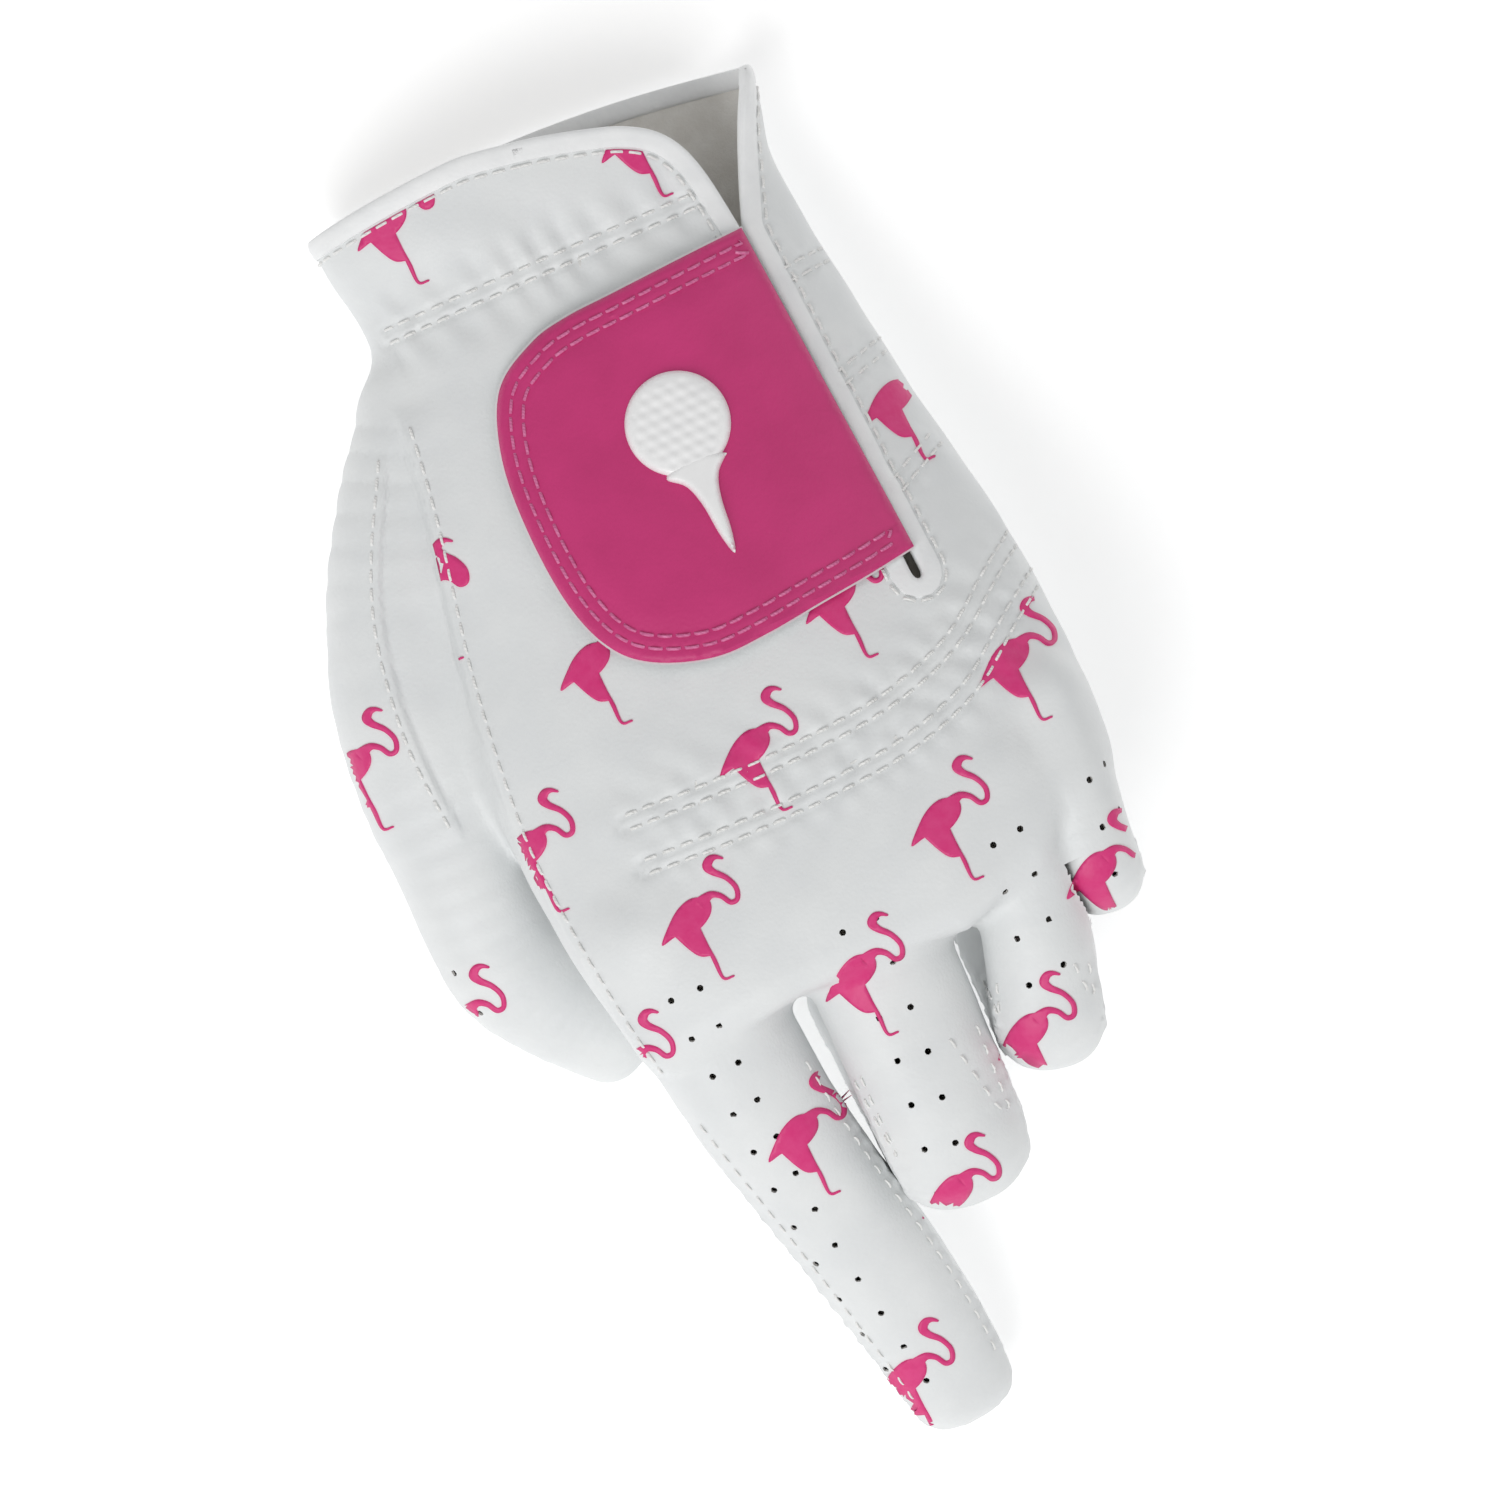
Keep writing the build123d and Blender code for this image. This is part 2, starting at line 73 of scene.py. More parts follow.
def smoothLine(points, perSpan=8):
    # Catmull-Rom through every point
    p = np.array(points, float)
    p = np.vstack([2 * p[0] - p[1], p, 2 * p[-1] - p[-2]])
    out = []
    for i in range(1, len(p) - 2):
        for t in np.arange(perSpan) / perSpan:
            a = 2 * p[i]
            b = p[i + 1] - p[i - 1]
            c = 2 * p[i - 1] - 5 * p[i] + 4 * p[i + 1] - p[i + 2]
            d = 3 * p[i] - p[i - 1] - 3 * p[i + 1] + p[i + 2]
            out.append(0.5 * (a + b * t + c * t * t + d * t ** 3))
    out.append(p[-2])
    return np.array(out)


def runningLength(line):
    return np.concatenate([[0], np.cumsum(np.linalg.norm(np.diff(line, axis=0), axis=1))])


def spread(line, count):
    # a number of points, equally far apart along a line
    line = np.array(line, float)
    along = runningLength(line)
    want = np.linspace(0, along[-1], count)
    return np.stack([np.interp(want, along, line[:, k]) for k in range(line.shape[1])], 1)


def evenly(line, step):
    # the same line with its points a fixed step apart
    line = np.array(line, float)
    return spread(line, max(2, int(round(runningLength(line)[-1] / step)) + 1))


def sideways(line, distance):
    # the same line moved to its left in plan
    line = np.array(line, float)
    way = unit(np.gradient(line, axis=0))
    return line + np.stack([-way[:, 1], way[:, 0]], 1) * distance


def unit(v):
    return v / np.maximum(np.linalg.norm(v, axis=-1, keepdims=True), 1e-9)


def softMin(a, b, k):
    h = np.clip(0.5 + 0.5 * (b - a) / k, 0, 1)
    return b * (1 - h) + a * h - k * h * (1 - h)


def bell(distance, width):
    return np.exp(-(distance / width) ** 2)


def step01(x, low, high):
    t = np.clip((x - low) / (high - low), 0, 1)
    return t * t * (3 - 2 * t)


# The shape of the glove

# Stations of the hand: y, left, right, lowest, highest
hand = {
    "rows": [
        (-74.0, -38.4, 38.2, -0.6, 25.2),
        (-66.0, -38.0, 37.7, -0.8, 25.4),
        (-58.0, -37.3, 37.0, -0.9, 25.2),
        (-50.0, -35.4, 35.9, -1.0, 24.6),
        (-44.0, -35.4, 35.8, -1.0, 25.0),
        (-36.0, -36.4, 37.0, -1.1, 27.6),
        (-26.0, -37.7, 38.6, -1.2, 30.6),
        (-12.0, -39.8, 40.6, -1.2, 34.8),
        (7.0, -43.0, 43.6, -0.6, 40.4),
        (23.0, -45.7, 46.2, 4.0, 44.8),
        (42.0, -47.3, 46.6, 12.0, 49.6),
        (58.0, -45.9, 44.6, 21.0, 52.4),
        (67.0, -44.4, 42.6, 24.6, 53.0),
        (78.0, -43.0, 40.6, 27.6, 52.0),
    ],
    "backPower": 2.35,  # how square the crown of the back is
    "palmPower": 3.0,
    "end": [(-48, 62.0), (-36, 65.0), (-29, 71.5), (-14, 76.5), (14, 75.5), (46, 79.0)],  # x, y of the crotches
    "cuffEdge": (-67.1, 3.6, 6.0, 39.0),  # lowest y, rise at the sides, middle x, half width
    "leather": 0.8,
}

# Spines: x, y, z, half width, half thickness. split is the y where the hand's skin hands over,
# bendAt the place along the spine past which the skin is the finger's own.
fingers = {
    "index": {
        "spine": [
            (30.4, 58, 38.6, 11.6, 11.6), (29.2, 70, 36.4, 11.7, 11.6), (28.0, 82, 33.2, 11.7, 11.2),
            (25.9, 94, 29.0, 11.0, 10.5), (23.2, 106, 24.2, 10.5, 9.9), (20.4, 118, 19.2, 10.3, 9.3),
            (18.1, 129, 14.6, 9.9, 8.6), (16.7, 137, 11.2, 9.3, 8.0), (16.2, 141.6, 9.3, 8.9, 7.7),
        ],
        "split": 84.6, "bendAt": 12, "body": "index_finger", "sides": (-1,),
    },
    "middle": {
        "spine": [
            (0.8, 58, 38.7, 11.6, 11.4), (0.7, 70, 37.8, 11.8, 11.4), (0.7, 82, 36.3, 11.8, 10.9),
            (0.8, 94, 34.7, 11.7, 10.3), (0.9, 103, 33.4, 11.4, 9.8), (1.0, 107.4, 31.4, 11.2, 9.4),
            (1.4, 106.2, 27.6, 10.8, 9.0), (2.6, 99, 22.0, 10.2, 8.6), (3.8, 90.5, 16.4, 9.6, 8.0),
            (4.9, 83, 11.6, 9.0, 7.4), (5.4, 79.4, 9.2, 8.6, 7.0),
        ],
        "split": 88.0, "bendAt": 12, "body": "middle_end", "sides": (-1, 1),
    },
    "ring": {
        "spine": [
            (-27.4, 58, 38.6, 8.8, 11.0), (-26.2, 68, 37.8, 8.7, 10.8), (-24.4, 78, 36.6, 8.4, 10.3),
            (-22.2, 87, 35.2, 8.7, 9.8), (-20.6, 92.6, 33.8, 9.0, 9.3), (-20.3, 93.8, 30.4, 8.9, 8.9),
            (-20.2, 91.0, 26.6, 8.6, 8.5), (-20.0, 83.5, 20.2, 8.2, 7.9), (-19.7, 75.5, 13.8, 7.9, 7.2),
            (-19.4, 69.0, 9.0, 7.4, 6.7),
        ],
        "split": 84.0, "bendAt": 12, "body": "ring_end", "sides": (-1, 1),
    },
    "little": {
        "spine": [
            (-39.6, 50, 37.0, 6.9, 9.8), (-38.7, 60, 37.4, 6.9, 9.8), (-38.0, 67, 37.2, 6.9, 9.5),
            (-37.4, 72.6, 36.6, 6.9, 9.0), (-37.0, 75.0, 34.0, 7.0, 8.5), (-36.9, 74.2, 30.6, 6.9, 8.2),
            (-36.8, 69.6, 22.6, 6.7, 7.5), (-36.6, 64.4, 14.2, 6.4, 6.9), (-36.4, 60.6, 8.4, 6.1, 6.4),
        ],
        "split": 73.3, "bendAt": 12, "body": "little_end", "sides": (1,),
    },
    "thumb": {
        "spine": [
            (37.0, -32, 12.0, 6.8, 9.0), (42.6, -20, 12.6, 9.4, 11.0), (48.4, -6, 13.4, 11.4, 12.4),
            (52.4, 7, 14.4, 12.0, 12.8), (55.0, 20, 15.2, 11.4, 12.6), (55.4, 32, 15.2, 10.4, 11.8),
            (55.3, 44, 14.6, 10.2, 10.6), (54.4, 53, 13.4, 10.3, 9.6), (50.9, 60.5, 11.7, 9.2, 8.6),
            (46.6, 66.4, 10.2, 8.3, 7.8), (44.6, 69.0, 9.5, 7.9, 7.5),
        ],
        "split": 46.0, "bendAt": 22, "body": "thumb_end", "sides": (),
    },
}
fingerNames = ["index", "middle", "ring", "little"]


def buildSpines():
    for name, finger in fingers.items():
        points = smoothLine(finger["spine"], 3)
        finger["line"] = points
        start, end = points[0, :3], points[9, :3]
        way = end - start
        finger["across"] = unit(np.array([way[1], -way[0], 0.0]))
        upTo = next((i for i, p in enumerate(points) if p[1] > finger["split"] + 5.0), len(points) - 1)
        if name not in ("index", "thumb"):
            upTo = min(upTo, finger["bendAt"])  # never round the bend
        finger["stub"] = points[:upTo + 1]


buildSpines()
handTable = smoothLine(hand["rows"], 10)
endTable = np.array(hand["end"], float)


def tubeDistance(points, line, across):
    # distance to a tube round a line, and the place round it: sideways, upwards, along
    count = len(points)
    best = np.full(count, 60.0)
    place = np.zeros((count, 3))
    low = line[:, :3].min(0) - 20.0
    high = line[:, :3].max(0) + 20.0
    near = np.where(np.all((points > low) & (points < high), axis=1))[0]
    if not len(near):
        return best, place
    p = points[near]
    found = np.full(len(near), 60.0)
    where = np.zeros((len(near), 3))
    for i in range(len(line) - 1):
        c0, c1 = line[i, :3], line[i + 1, :3]
        seg = c1 - c0
        length = np.linalg.norm(seg)
        way = seg / length
        up = unit(np.cross(across, way))
        side = np.cross(way, up)
        delta = p - c0
        t = np.clip(delta @ way / length, 0, 1)
        delta = delta - t[:, None] * seg
        u, v, w = delta @ side, delta @ up, delta @ way
        a = line[i, 3] + t * (line[i + 1, 3] - line[i, 3])
        b = line[i, 4] + t * (line[i + 1, 4] - line[i, 4])
        e = 0.95 * b
        q = (np.abs(u / a) ** 2.3 + np.abs(v / b) ** 2.3 + np.abs(w / e) ** 2.3) ** (1 / 2.3)
        q = np.maximum(q, 0.05)
        slope = np.sqrt((np.abs(u / a) ** 1.3 / a) ** 2 + (np.abs(v / b) ** 1.3 / b) ** 2
                        + (np.abs(w / e) ** 1.3 / e) ** 2) * q ** -1.3
        d = (q - 1) / np.maximum(slope, 0.02)
        closer = d < found
        found[closer] = d[closer]
        where[closer, 0] = (u / a)[closer]
        where[closer, 1] = (v / b)[closer]
        where[closer, 2] = (i + t)[closer]
    best[near] = found
    place[near] = where
    return best, place


def handStation(y):
    # left, right, lowest and highest of the hand at y
    return [np.interp(y, handTable[:, 0], handTable[:, k]) for k in (1, 2, 3, 4)]


def handDistance(p):
    x, y, z = p.T
    left, right, low, high = handStation(y)
    middleX, halfX = (left + right) / 2, (right - left) / 2
    middleZ, halfZ = (low + high) / 2, (high - low) / 2
    u, v = np.abs(x - middleX) / halfX, np.abs(z - middleZ) / halfZ
    n = np.where(z > middleZ, hand["backPower"], hand["palmPower"])
    q = np.maximum((u ** n + v ** n) ** (1 / n), 0.05)
    slope = np.sqrt((u ** (n - 1) / halfX) ** 2 + (v ** (n - 1) / halfZ) ** 2) * q ** (1 - n)
    d = (q - 1) / np.maximum(slope, 0.012)
    end = np.interp(x, endTable[:, 0], endTable[:, 1])
    return -softMin(-d, -(y - end), 5.0)


# Rows of thread on the back, in plan
rows = {
    "knuckle": [(28.5, 47.3), (14, 47.9), (-0.5, 47.8), (-16.5, 46.3), (-29.5, 42.0), (-39.5, 34.8),
                (-47.0, 29.6)],
    "knuckleStep": -7.6,
    "wrist": [(-21.4, -46.2), (32.5, -46.2)],
    "gap": 1.15,  # half the space between two rows
    "pitch": 3.0,
    "ulnar": [[(-31.4, 8.6), (-41.0, 3.6)], [(-30.0, -10.6), (-41.5, -14.0)], [(-29.0, -29.4), (-38.2, -30.4)]],
}
radialSeam = smoothLine([(35.4, -46), (36.3, -32), (38.5, -15), (42.9, 8.5), (45.3, 32), (44.9, 48),
                         (42.6, 67.5), (40.0, 81)], 10)


def lineDistance(x, y, line):
    # plan distance to a line and the place along it
    best = np.full(len(x), 1e3)
    along = np.zeros(len(x))
    run = 0.0
    for (x0, y0), (x1, y1) in zip(line[:-1, :2], line[1:, :2]):
        dx, dy = x1 - x0, y1 - y0
        length = math.hypot(dx, dy)
        t = np.clip(((x - x0) * dx + (y - y0) * dy) / length ** 2, 0, 1)
        d = np.hypot(x - x0 - t * dx, y - y0 - t * dy)
        closer = d < best
        best[closer] = d[closer]
        along[closer] = (run + t * length)[closer]
        run += length
    return best, along


thumbSeam = smoothLine([(36.9, -34), (41.5, -25), (46.6, -15.5), (50.5, -6), (52.7, 3.7), (53.8, 16.5),
                        (52.9, 29.5)], 8)
knuckleLines = [smoothLine([(x, y + k * rows["knuckleStep"]) for x, y in rows["knuckle"]], 5) for k in (0, 1)]
wristLine = np.array(rows["wrist"], float)
ulnarLines = [np.array(line, float) for line in rows["ulnar"]]


def creases(p):
    # how far the leather stands out, in millimetres: soft unevenness, gathers, sunken rows
    x, y, z = p.T
    middle = np.interp(y, handTable[:, 0], (handTable[:, 3] + handTable[:, 4]) / 2)
    back = step01(z - middle, 1.0, 5.0)
    out = 0.30 * np.sin(x / 7.3 + 1.7 * np.sin(y / 16.0) + 0.4) * np.sin(y / 10.1 + 0.8 * np.sin(x / 12.0))
    out += 0.12 * np.sin(x / 3.1 + 1.2 * np.sin(y / 6.0) + z / 5.0) * np.sin(y / 4.3 + z / 3.7)
    for line in knuckleLines:
        d, s = lineDistance(x, y, line)
        out -= 0.34 * back * bell(d - rows["gap"], 0.75)
        out += 0.20 * back * bell(d, 3.4)
        gathers = np.sin(s * 2 * np.pi / 4.6 + 0.9 * np.sin(s / 7.0))
        out += 0.20 * back * gathers * bell(d - 2.6, 1.9) * step01(s, 0, 8)
        out += 0.16 * back * np.sin(s * 2 * np.pi / 8.2 + 0.6 * d) * bell(d - 4.5, 4.0)
    d, s = lineDistance(x, y, wristLine)
    out -= 0.42 * back * bell(d - rows["gap"], 0.8)
    out += 0.25 * back * bell(d, 2.6)
    gathers = np.sin(s * 2 * np.pi / 5.4 + 1.3 * np.sin(s / 5.0 + 1.0) + 0.15 * (y + 46))
    out += 0.42 * back * gathers * bell(d - 3.0, 3.2)
    # soft diagonal folds over the wrist, strongest at the thumb side
    fold = np.sin((x * 0.78 + y) / 3.4 + 1.6 * np.sin(x / 9.0) + 0.7 * np.sin(y / 5.0))
    out += 0.34 * back * fold * bell(y + 52, 9.0) * step01(x, -30, 20)
    fold = np.sin((y - 0.55 * x) / 2.7 + 1.5 * np.sin(x / 5.0 + y / 8.0 + z / 6.0))
    out += 0.30 * fold * bell(np.hypot(x - 35.5, (y + 37) * 0.8), 8.0) * (0.4 + 0.6 * back)
    for line in ulnarLines:
        d, s = lineDistance(x, y, line)
        out -= 0.35 * back * bell(d - rows["gap"], 0.8)
        out += 0.22 * back * np.sin(s * 2 * np.pi / 4.2) * bell(d - 2.4, 1.8)
    # the web of the thumb pulls a few long folds
    fold = np.sin((x - 0.32 * y) / 4.1 + 1.6 * np.sin(y / 9.0)) * np.sin(y / 13.0 + 0.6)
    out += 0.22 * fold * bell(x - 47.5 - 0.06 * y, 5.0) * bell(y - 14, 30.0)
    # the lapped seam lifts the edge of the back panel
    d, s = lineDistance(x, y, radialSeam)
    seamX = np.interp(y, radialSeam[:, 1], radialSeam[:, 0])
    inside = step01(seamX - x, -0.5, 0.5)
    lap = back * (y < 79) * step01(y, -36, -28)
    out += lap * (0.75 * inside * bell(d, 4.0) - 0.45 * (1 - inside) * bell(d, 2.2))
    d, s = lineDistance(x, y, thumbSeam)
    seamX = np.interp(y, thumbSeam[:, 1], thumbSeam[:, 0])
    inside = step01(x - seamX, -0.5, 0.5)
    lap = step01(z, 13, 17) * step01(y, -32, -24) * (1 - step01(y, 28, 34)) * step01(x, 38, 41)
    out += lap * (0.55 * inside * bell(d, 3.5) - 0.4 * (1 - inside) * bell(d, 2.0))
    return out


def fingerCreases(p, place, name):
    # little folds across the finger, stronger on the palm side and at the bend
    x, y, z = p.T
    s = place[:, 2]
    wander = 1.3 * np.sin(s * 0.55) + 0.9 * np.sin(2.1 * place[:, 0] + 0.3 * s)
    out = 0.13 * np.sin(s * 1.9 + wander) * np.sin(s * 0.7 + 1.1 * place[:, 0]) * (0.6 - 0.4 * place[:, 1])
    out += 0.10 * np.sin(x / 2.6 + y / 3.3 + z / 2.9)
    ridge = bell(place[:, 1] - 0.42, 0.07) * (name != "thumb")
    out += 0.45 * ridge * (1 + 0.35 * np.sin(s * 7.0))
    if name not in ("index", "thumb"):
        out += 0.22 * np.sin(s * 5.4) * bell(s - 15.0, 5.0) * (place[:, 1] < 0.3)
    return out


def fingerField(p, name):
    finger = fingers[name]
    d, place = tubeDistance(p, finger["line"], finger["across"])
    band = np.abs(d) < 4
    if band.any():
        ease = step01(p[band][:, 1], finger["split"] + 2, finger["split"] + 8)
        bent = np.where(place[band][:, 2] > finger["bendAt"], 1.0, ease)
        d[band] -= creases(p[band]) * (1 - bent) + fingerCreases(p[band], place[band], name) * bent
    return -softMin(-d, p[:, 2], 1.5)


def handField(p):
    d = handDistance(p)
    thumb, _ = tubeDistance(p, fingers["thumb"]["stub"], fingers["thumb"]["across"])
    k = 7.0 - 5.6 * step01(p[:, 1], 18, 44)
    d = softMin(d, thumb, k)
    for name in fingerNames:
        stub, _ = tubeDistance(p, fingers[name]["stub"], fingers[name]["across"])
        d = softMin(d, stub, 2.6)
    band = np.abs(d) < 4
    d[band] -= creases(p[band])
    return -softMin(-d, p[:, 2], 1.5)


def fieldNormals(field, p):
    h = 0.35
    g = np.stack([field(p + h * e) - field(p - h * e) for e in np.eye(3)], 1)
    return unit(g)


def surfaceNet(field, low, high, step):
    # quads over the zero surface of a field, one point for each cell that it crosses
    axes = [np.arange(math.floor(a / step), math.ceil(b / step) + 1) * step for a, b in zip(low, high)]
    grid = np.stack(np.meshgrid(*axes, indexing="ij"), -1)
    shape = grid.shape[:3]
    values = field(grid.reshape(-1, 3)).reshape(shape)
    inside = values < 0
    cells = tuple(n - 1 for n in shape)
    total = np.zeros(cells + (3,))
    hits = np.zeros(cells)
    corner = [(i, j, k) for i in (0, 1) for j in (0, 1) for k in (0, 1)]

    def at(array, c):
        return array[c[0]:c[0] + cells[0], c[1]:c[1] + cells[1], c[2]:c[2] + cells[2]]

    for c in corner:
        for axis in range(3):
            if c[axis]:
                continue
            other = list(c)
            other[axis] = 1
            va, vb = at(values, c), at(values, other)
            cross = at(inside, c) != at(inside, other)
            t = np.where(cross, va / np.where(cross, va - vb, 1), 0)
            spot = np.zeros(cells + (3,)) + np.array(c, float)
            spot[..., axis] += t
            total += spot * cross[..., None]
            hits += cross
    used = hits > 0
    number = np.full(cells, -1)
    number[used] = np.arange(used.sum())
    base = np.stack(np.meshgrid(*[a[:-1] for a in axes], indexing="ij"), -1)
    points = base[used] + total[used] / hits[used][:, None] * step
    quads = []
    for axis in range(3):
        b, c = (axis + 1) % 3, (axis + 2) % 3
        first = [slice(1, -1)] * 3
        second = [slice(1, -1)] * 3
        first[axis] = slice(0, -1)
        second[axis] = slice(1, None)
        i0, i1 = inside[tuple(first)], inside[tuple(second)]
        where = np.argwhere(i0 != i1)
        offset = np.ones(3, int)
        offset[axis] = 0
        where = where + offset
        flip = i0[tuple((where - offset).T)]
        ring = []
        for db, dc in ((-1, -1), (0, -1), (0, 0), (-1, 0)):
            cell = where.copy()
            cell[:, b] += db
            cell[:, c] += dc
            ring.append(number[tuple(cell.T)])
        ring = np.stack(ring, 1)
        ring[~flip] = ring[~flip][:, ::-1]
        quads.append(ring)
    quads = np.vstack(quads)
    quads = quads[(quads >= 0).all(1)]
    for _ in range(2):
        n = fieldNormals(field, points)
        points = points - n * field(points)[:, None]
    return points, quads


def dropUnused(points, faces, *extra):
    used = np.unique(faces)
    again = np.full(len(points), -1)
    again[used] = np.arange(len(used))
    return (points[used], again[faces]) + tuple(e[used] for e in extra)


# The wrist opening in plan: the slit under the tab, then the V towards the cuff
opening = {
    "slitEnd": (-29.3, 22.6),
    "eye": 1.45,
    "left": [(-26.9, -39.2), (-30.2, -47.5), (-33.8, -55.6), (-36.5, -60.7), (-38.4, -66), (-39.5, -76)],
    "right": [(-25.5, -39.0), (-24.8, -44.5), (-24.0, -49.5), (-22.5, -54.4), (-19.5, -58.4), (-14.6, -61.3),
              (-8.6, -63.2), (-2.0, -64.9), (5.0, -66.2), (12.0, -67.3), (20.0, -68.5)],
}


def openingOutline():
    # from the cuff up the left edge, round the slit's end, and down the right edge
    ex, ey = opening["slitEnd"]
    left = smoothLine(opening["left"], 6)[::-1]
    right = smoothLine(opening["right"], 6)
    turn = np.linspace(math.radians(200), math.radians(-20), 14)
    loop = np.stack([ex + opening["eye"] * np.cos(turn), ey + opening["eye"] * np.sin(turn)], 1)
    return np.vstack([left, loop, right])


outline = openingOutline()


def insideOutline(x, y, line):
    inside = np.zeros(len(x), bool)
    ring = np.vstack([line, line[:1]])
    for (x0, y0), (x1, y1) in zip(ring[:-1], ring[1:]):
        if y0 == y1:
            continue
        crosses = (y0 > y) != (y1 > y)
        at = x0 + (y - y0) / (y1 - y0) * (x1 - x0)
        inside ^= crosses & (x < at)
    return inside


openingRing = np.vstack([outline, [(20.0, -90.0), (-39.5, -90.0)]])


def cuffY(x):
    low, rise, middle, half = hand["cuffEdge"]
    return low + rise * ((x - middle) / half) ** 2


def nearestOnLine(x, y, line):
    best = np.full(len(x), 1e3)
    spot = np.zeros((len(x), 2))
    for (x0, y0), (x1, y1) in zip(line[:-1], line[1:]):
        dx, dy = x1 - x0, y1 - y0
        t = np.clip(((x - x0) * dx + (y - y0) * dy) / max(dx * dx + dy * dy, 1e-9), 0, 1)
        px, py = x0 + t * dx, y0 + t * dy
        d = np.hypot(x - px, y - py)
        closer = d < best
        best[closer] = d[closer]
        spot[closer] = np.stack([px, py], 1)[closer]
    return best, spot


def boundaryEdges(faces):
    edges = np.vstack([faces[:, [i, (i + 1) % 4]] for i in range(4)])
    face = np.tile(np.arange(len(faces)), 4)
    key = np.sort(edges, 1)
    _, index, count = np.unique(key, axis=0, return_index=True, return_counts=True)
    single = index[count == 1]
    return edges[single], face[single]


netStep = 0.9


def middleHeight(y):
    return np.interp(y, handTable[:, 0], (handTable[:, 3] + handTable[:, 4]) / 2)


def makeHandSkin():
    points, faces = surfaceNet(handField, (-51, -73, -2), (70, 93, 58), netStep)
    centre = points[faces].mean(1)
    drop = centre[:, 1] < cuffY(centre[:, 0])
    back = centre[:, 2] > middleHeight(centre[:, 1]) + 0.5
    drop |= back & insideOutline(centre[:, 0], centre[:, 1], openingRing)
    for name, finger in fingers.items():
        d, _ = tubeDistance(centre, finger["stub"], finger["across"])
        drop |= (d < 1.6) & (centre[:, 1] > finger["split"]) & (d < handDistance(centre))
    faces = faces[~drop]
    points, faces = dropUnused(points, faces)
    edges, _ = boundaryEdges(faces)
    rim = np.unique(edges)
    x, y, z = points[rim].T
    near, spot = nearestOnLine(x, y, outline)
    slit = (near < 1.8) & (z > middleHeight(y) - 1) & (spot[:, 1] > cuffY(spot[:, 0]))
    cuff = ~slit & (y < cuffY(x) + 1.6)
    points[rim[cuff], 1] = cuffY(x[cuff])
    points[rim[slit], :2] = spot[slit]
    return points, faces


def makeFingerSkin(name):
    finger = fingers[name]
    line = finger["line"]
    low = line[:, :3].min(0) - 15
    high = line[:, :3].max(0) + 15
    low[1] = max(low[1], 40)
    low[2] = -2
    points, faces = surfaceNet(lambda p: fingerField(p, name), low, high, netStep)
    centre = points[faces].mean(1)
    d, place = tubeDistance(centre, line, finger["across"])
    drop = (centre[:, 1] < finger["split"]) & (place[:, 2] < finger["bendAt"])
    faces = faces[~drop]
    return dropUnused(points, faces)


print("making the skin")
skins = {"hand": makeHandSkin()}
for name in fingers:
    skins[name] = makeFingerSkin(name)
for name, (points, faces) in skins.items():
    print(" ", name, len(points), "points", len(faces), "faces")

# Meshes and pieces

class Part:
    # points and faces gathered for one piece
    def __init__(self, name):
        self.name = name
        self.points, self.normals, self.faces, self.looks = [], [], [], []
        self.count = 0

    def add(self, points, faces, look=0, normals=None):
        self.points.append(points)
        self.normals.append(np.zeros((len(points), 3)) if normals is None else normals)
        self.join(faces, self.count, look)
        self.count += len(points)

    def join(self, faces, start, look=0):
        # faces over points that are there already, numbered from start
        faces = faces.tolist() if hasattr(faces, "tolist") else faces
        self.faces += [[i + start for i in face] for face in faces]
        self.looks += [look] * len(faces)

    def make(self, finish, *looks, crisp=False):
        mesh = bpy.data.meshes.new(self.name)
        mesh.from_pydata((np.vstack(self.points) * mm).tolist(), [], self.faces)
        for look in looks:
            mesh.materials.append(look)
        mesh.polygons.foreach_set("material_index", self.looks)
        mesh.shade_smooth()
        if crisp:
            mesh.set_sharp_from_angle(angle=math.radians(48))
        else:
            mesh.normals_split_custom_set_from_vertices(np.vstack(self.normals).tolist())
        mesh.update()
        piece = bpy.data.objects.new(self.name.replace(" ", "_"), mesh)
        bpy.context.scene.collection.objects.link(piece)
        return piece


def pierce(points, faces, normals, spots, radius):
    # round holes: the nearest point goes, and its ring moves out to a circle
    ringPoints = set()
    gone = np.zeros(len(faces), bool)
    for spot in spots:
        nearest = np.argmin(np.linalg.norm(points - spot, axis=1))
        hit = np.any(faces == nearest, axis=1)
        gone |= hit
        ring = set(faces[hit].ravel().tolist()) - {int(nearest)}
        n = normals[nearest]
        for i in ring:
            away = points[i] - spot
            height = away @ n
            flat = away - height * n
            points[i] = spot + flat / max(np.linalg.norm(flat), 1e-6) * radius + n * height * 0.4
        ringPoints |= ring
    return faces[~gone], ringPoints


def wallOver(edges, count):
    # quads between each edge of one side and the same edge of the other side
    return np.stack([edges[:, 1], edges[:, 0], edges[:, 0] + count, edges[:, 1] + count], 1)


def thicken(part, points, faces, normals, openPoints, thick, looks=(0, 1)):
    # outside, inside and the cut edge of the leather along real openings only
    p, f, n, used = dropUnused(points, faces, normals, np.arange(len(points)))
    count, start = len(p), part.count
    part.add(p, f, looks[0], n)
    part.add(p - n * thick, f[:, ::-1], looks[1], -n)
    edges, _ = boundaryEdges(f)
    isOpen = np.isin(used, list(openPoints))
    edges = edges[isOpen[edges].all(1)]
    part.join(wallOver(edges, count), start, looks[1])


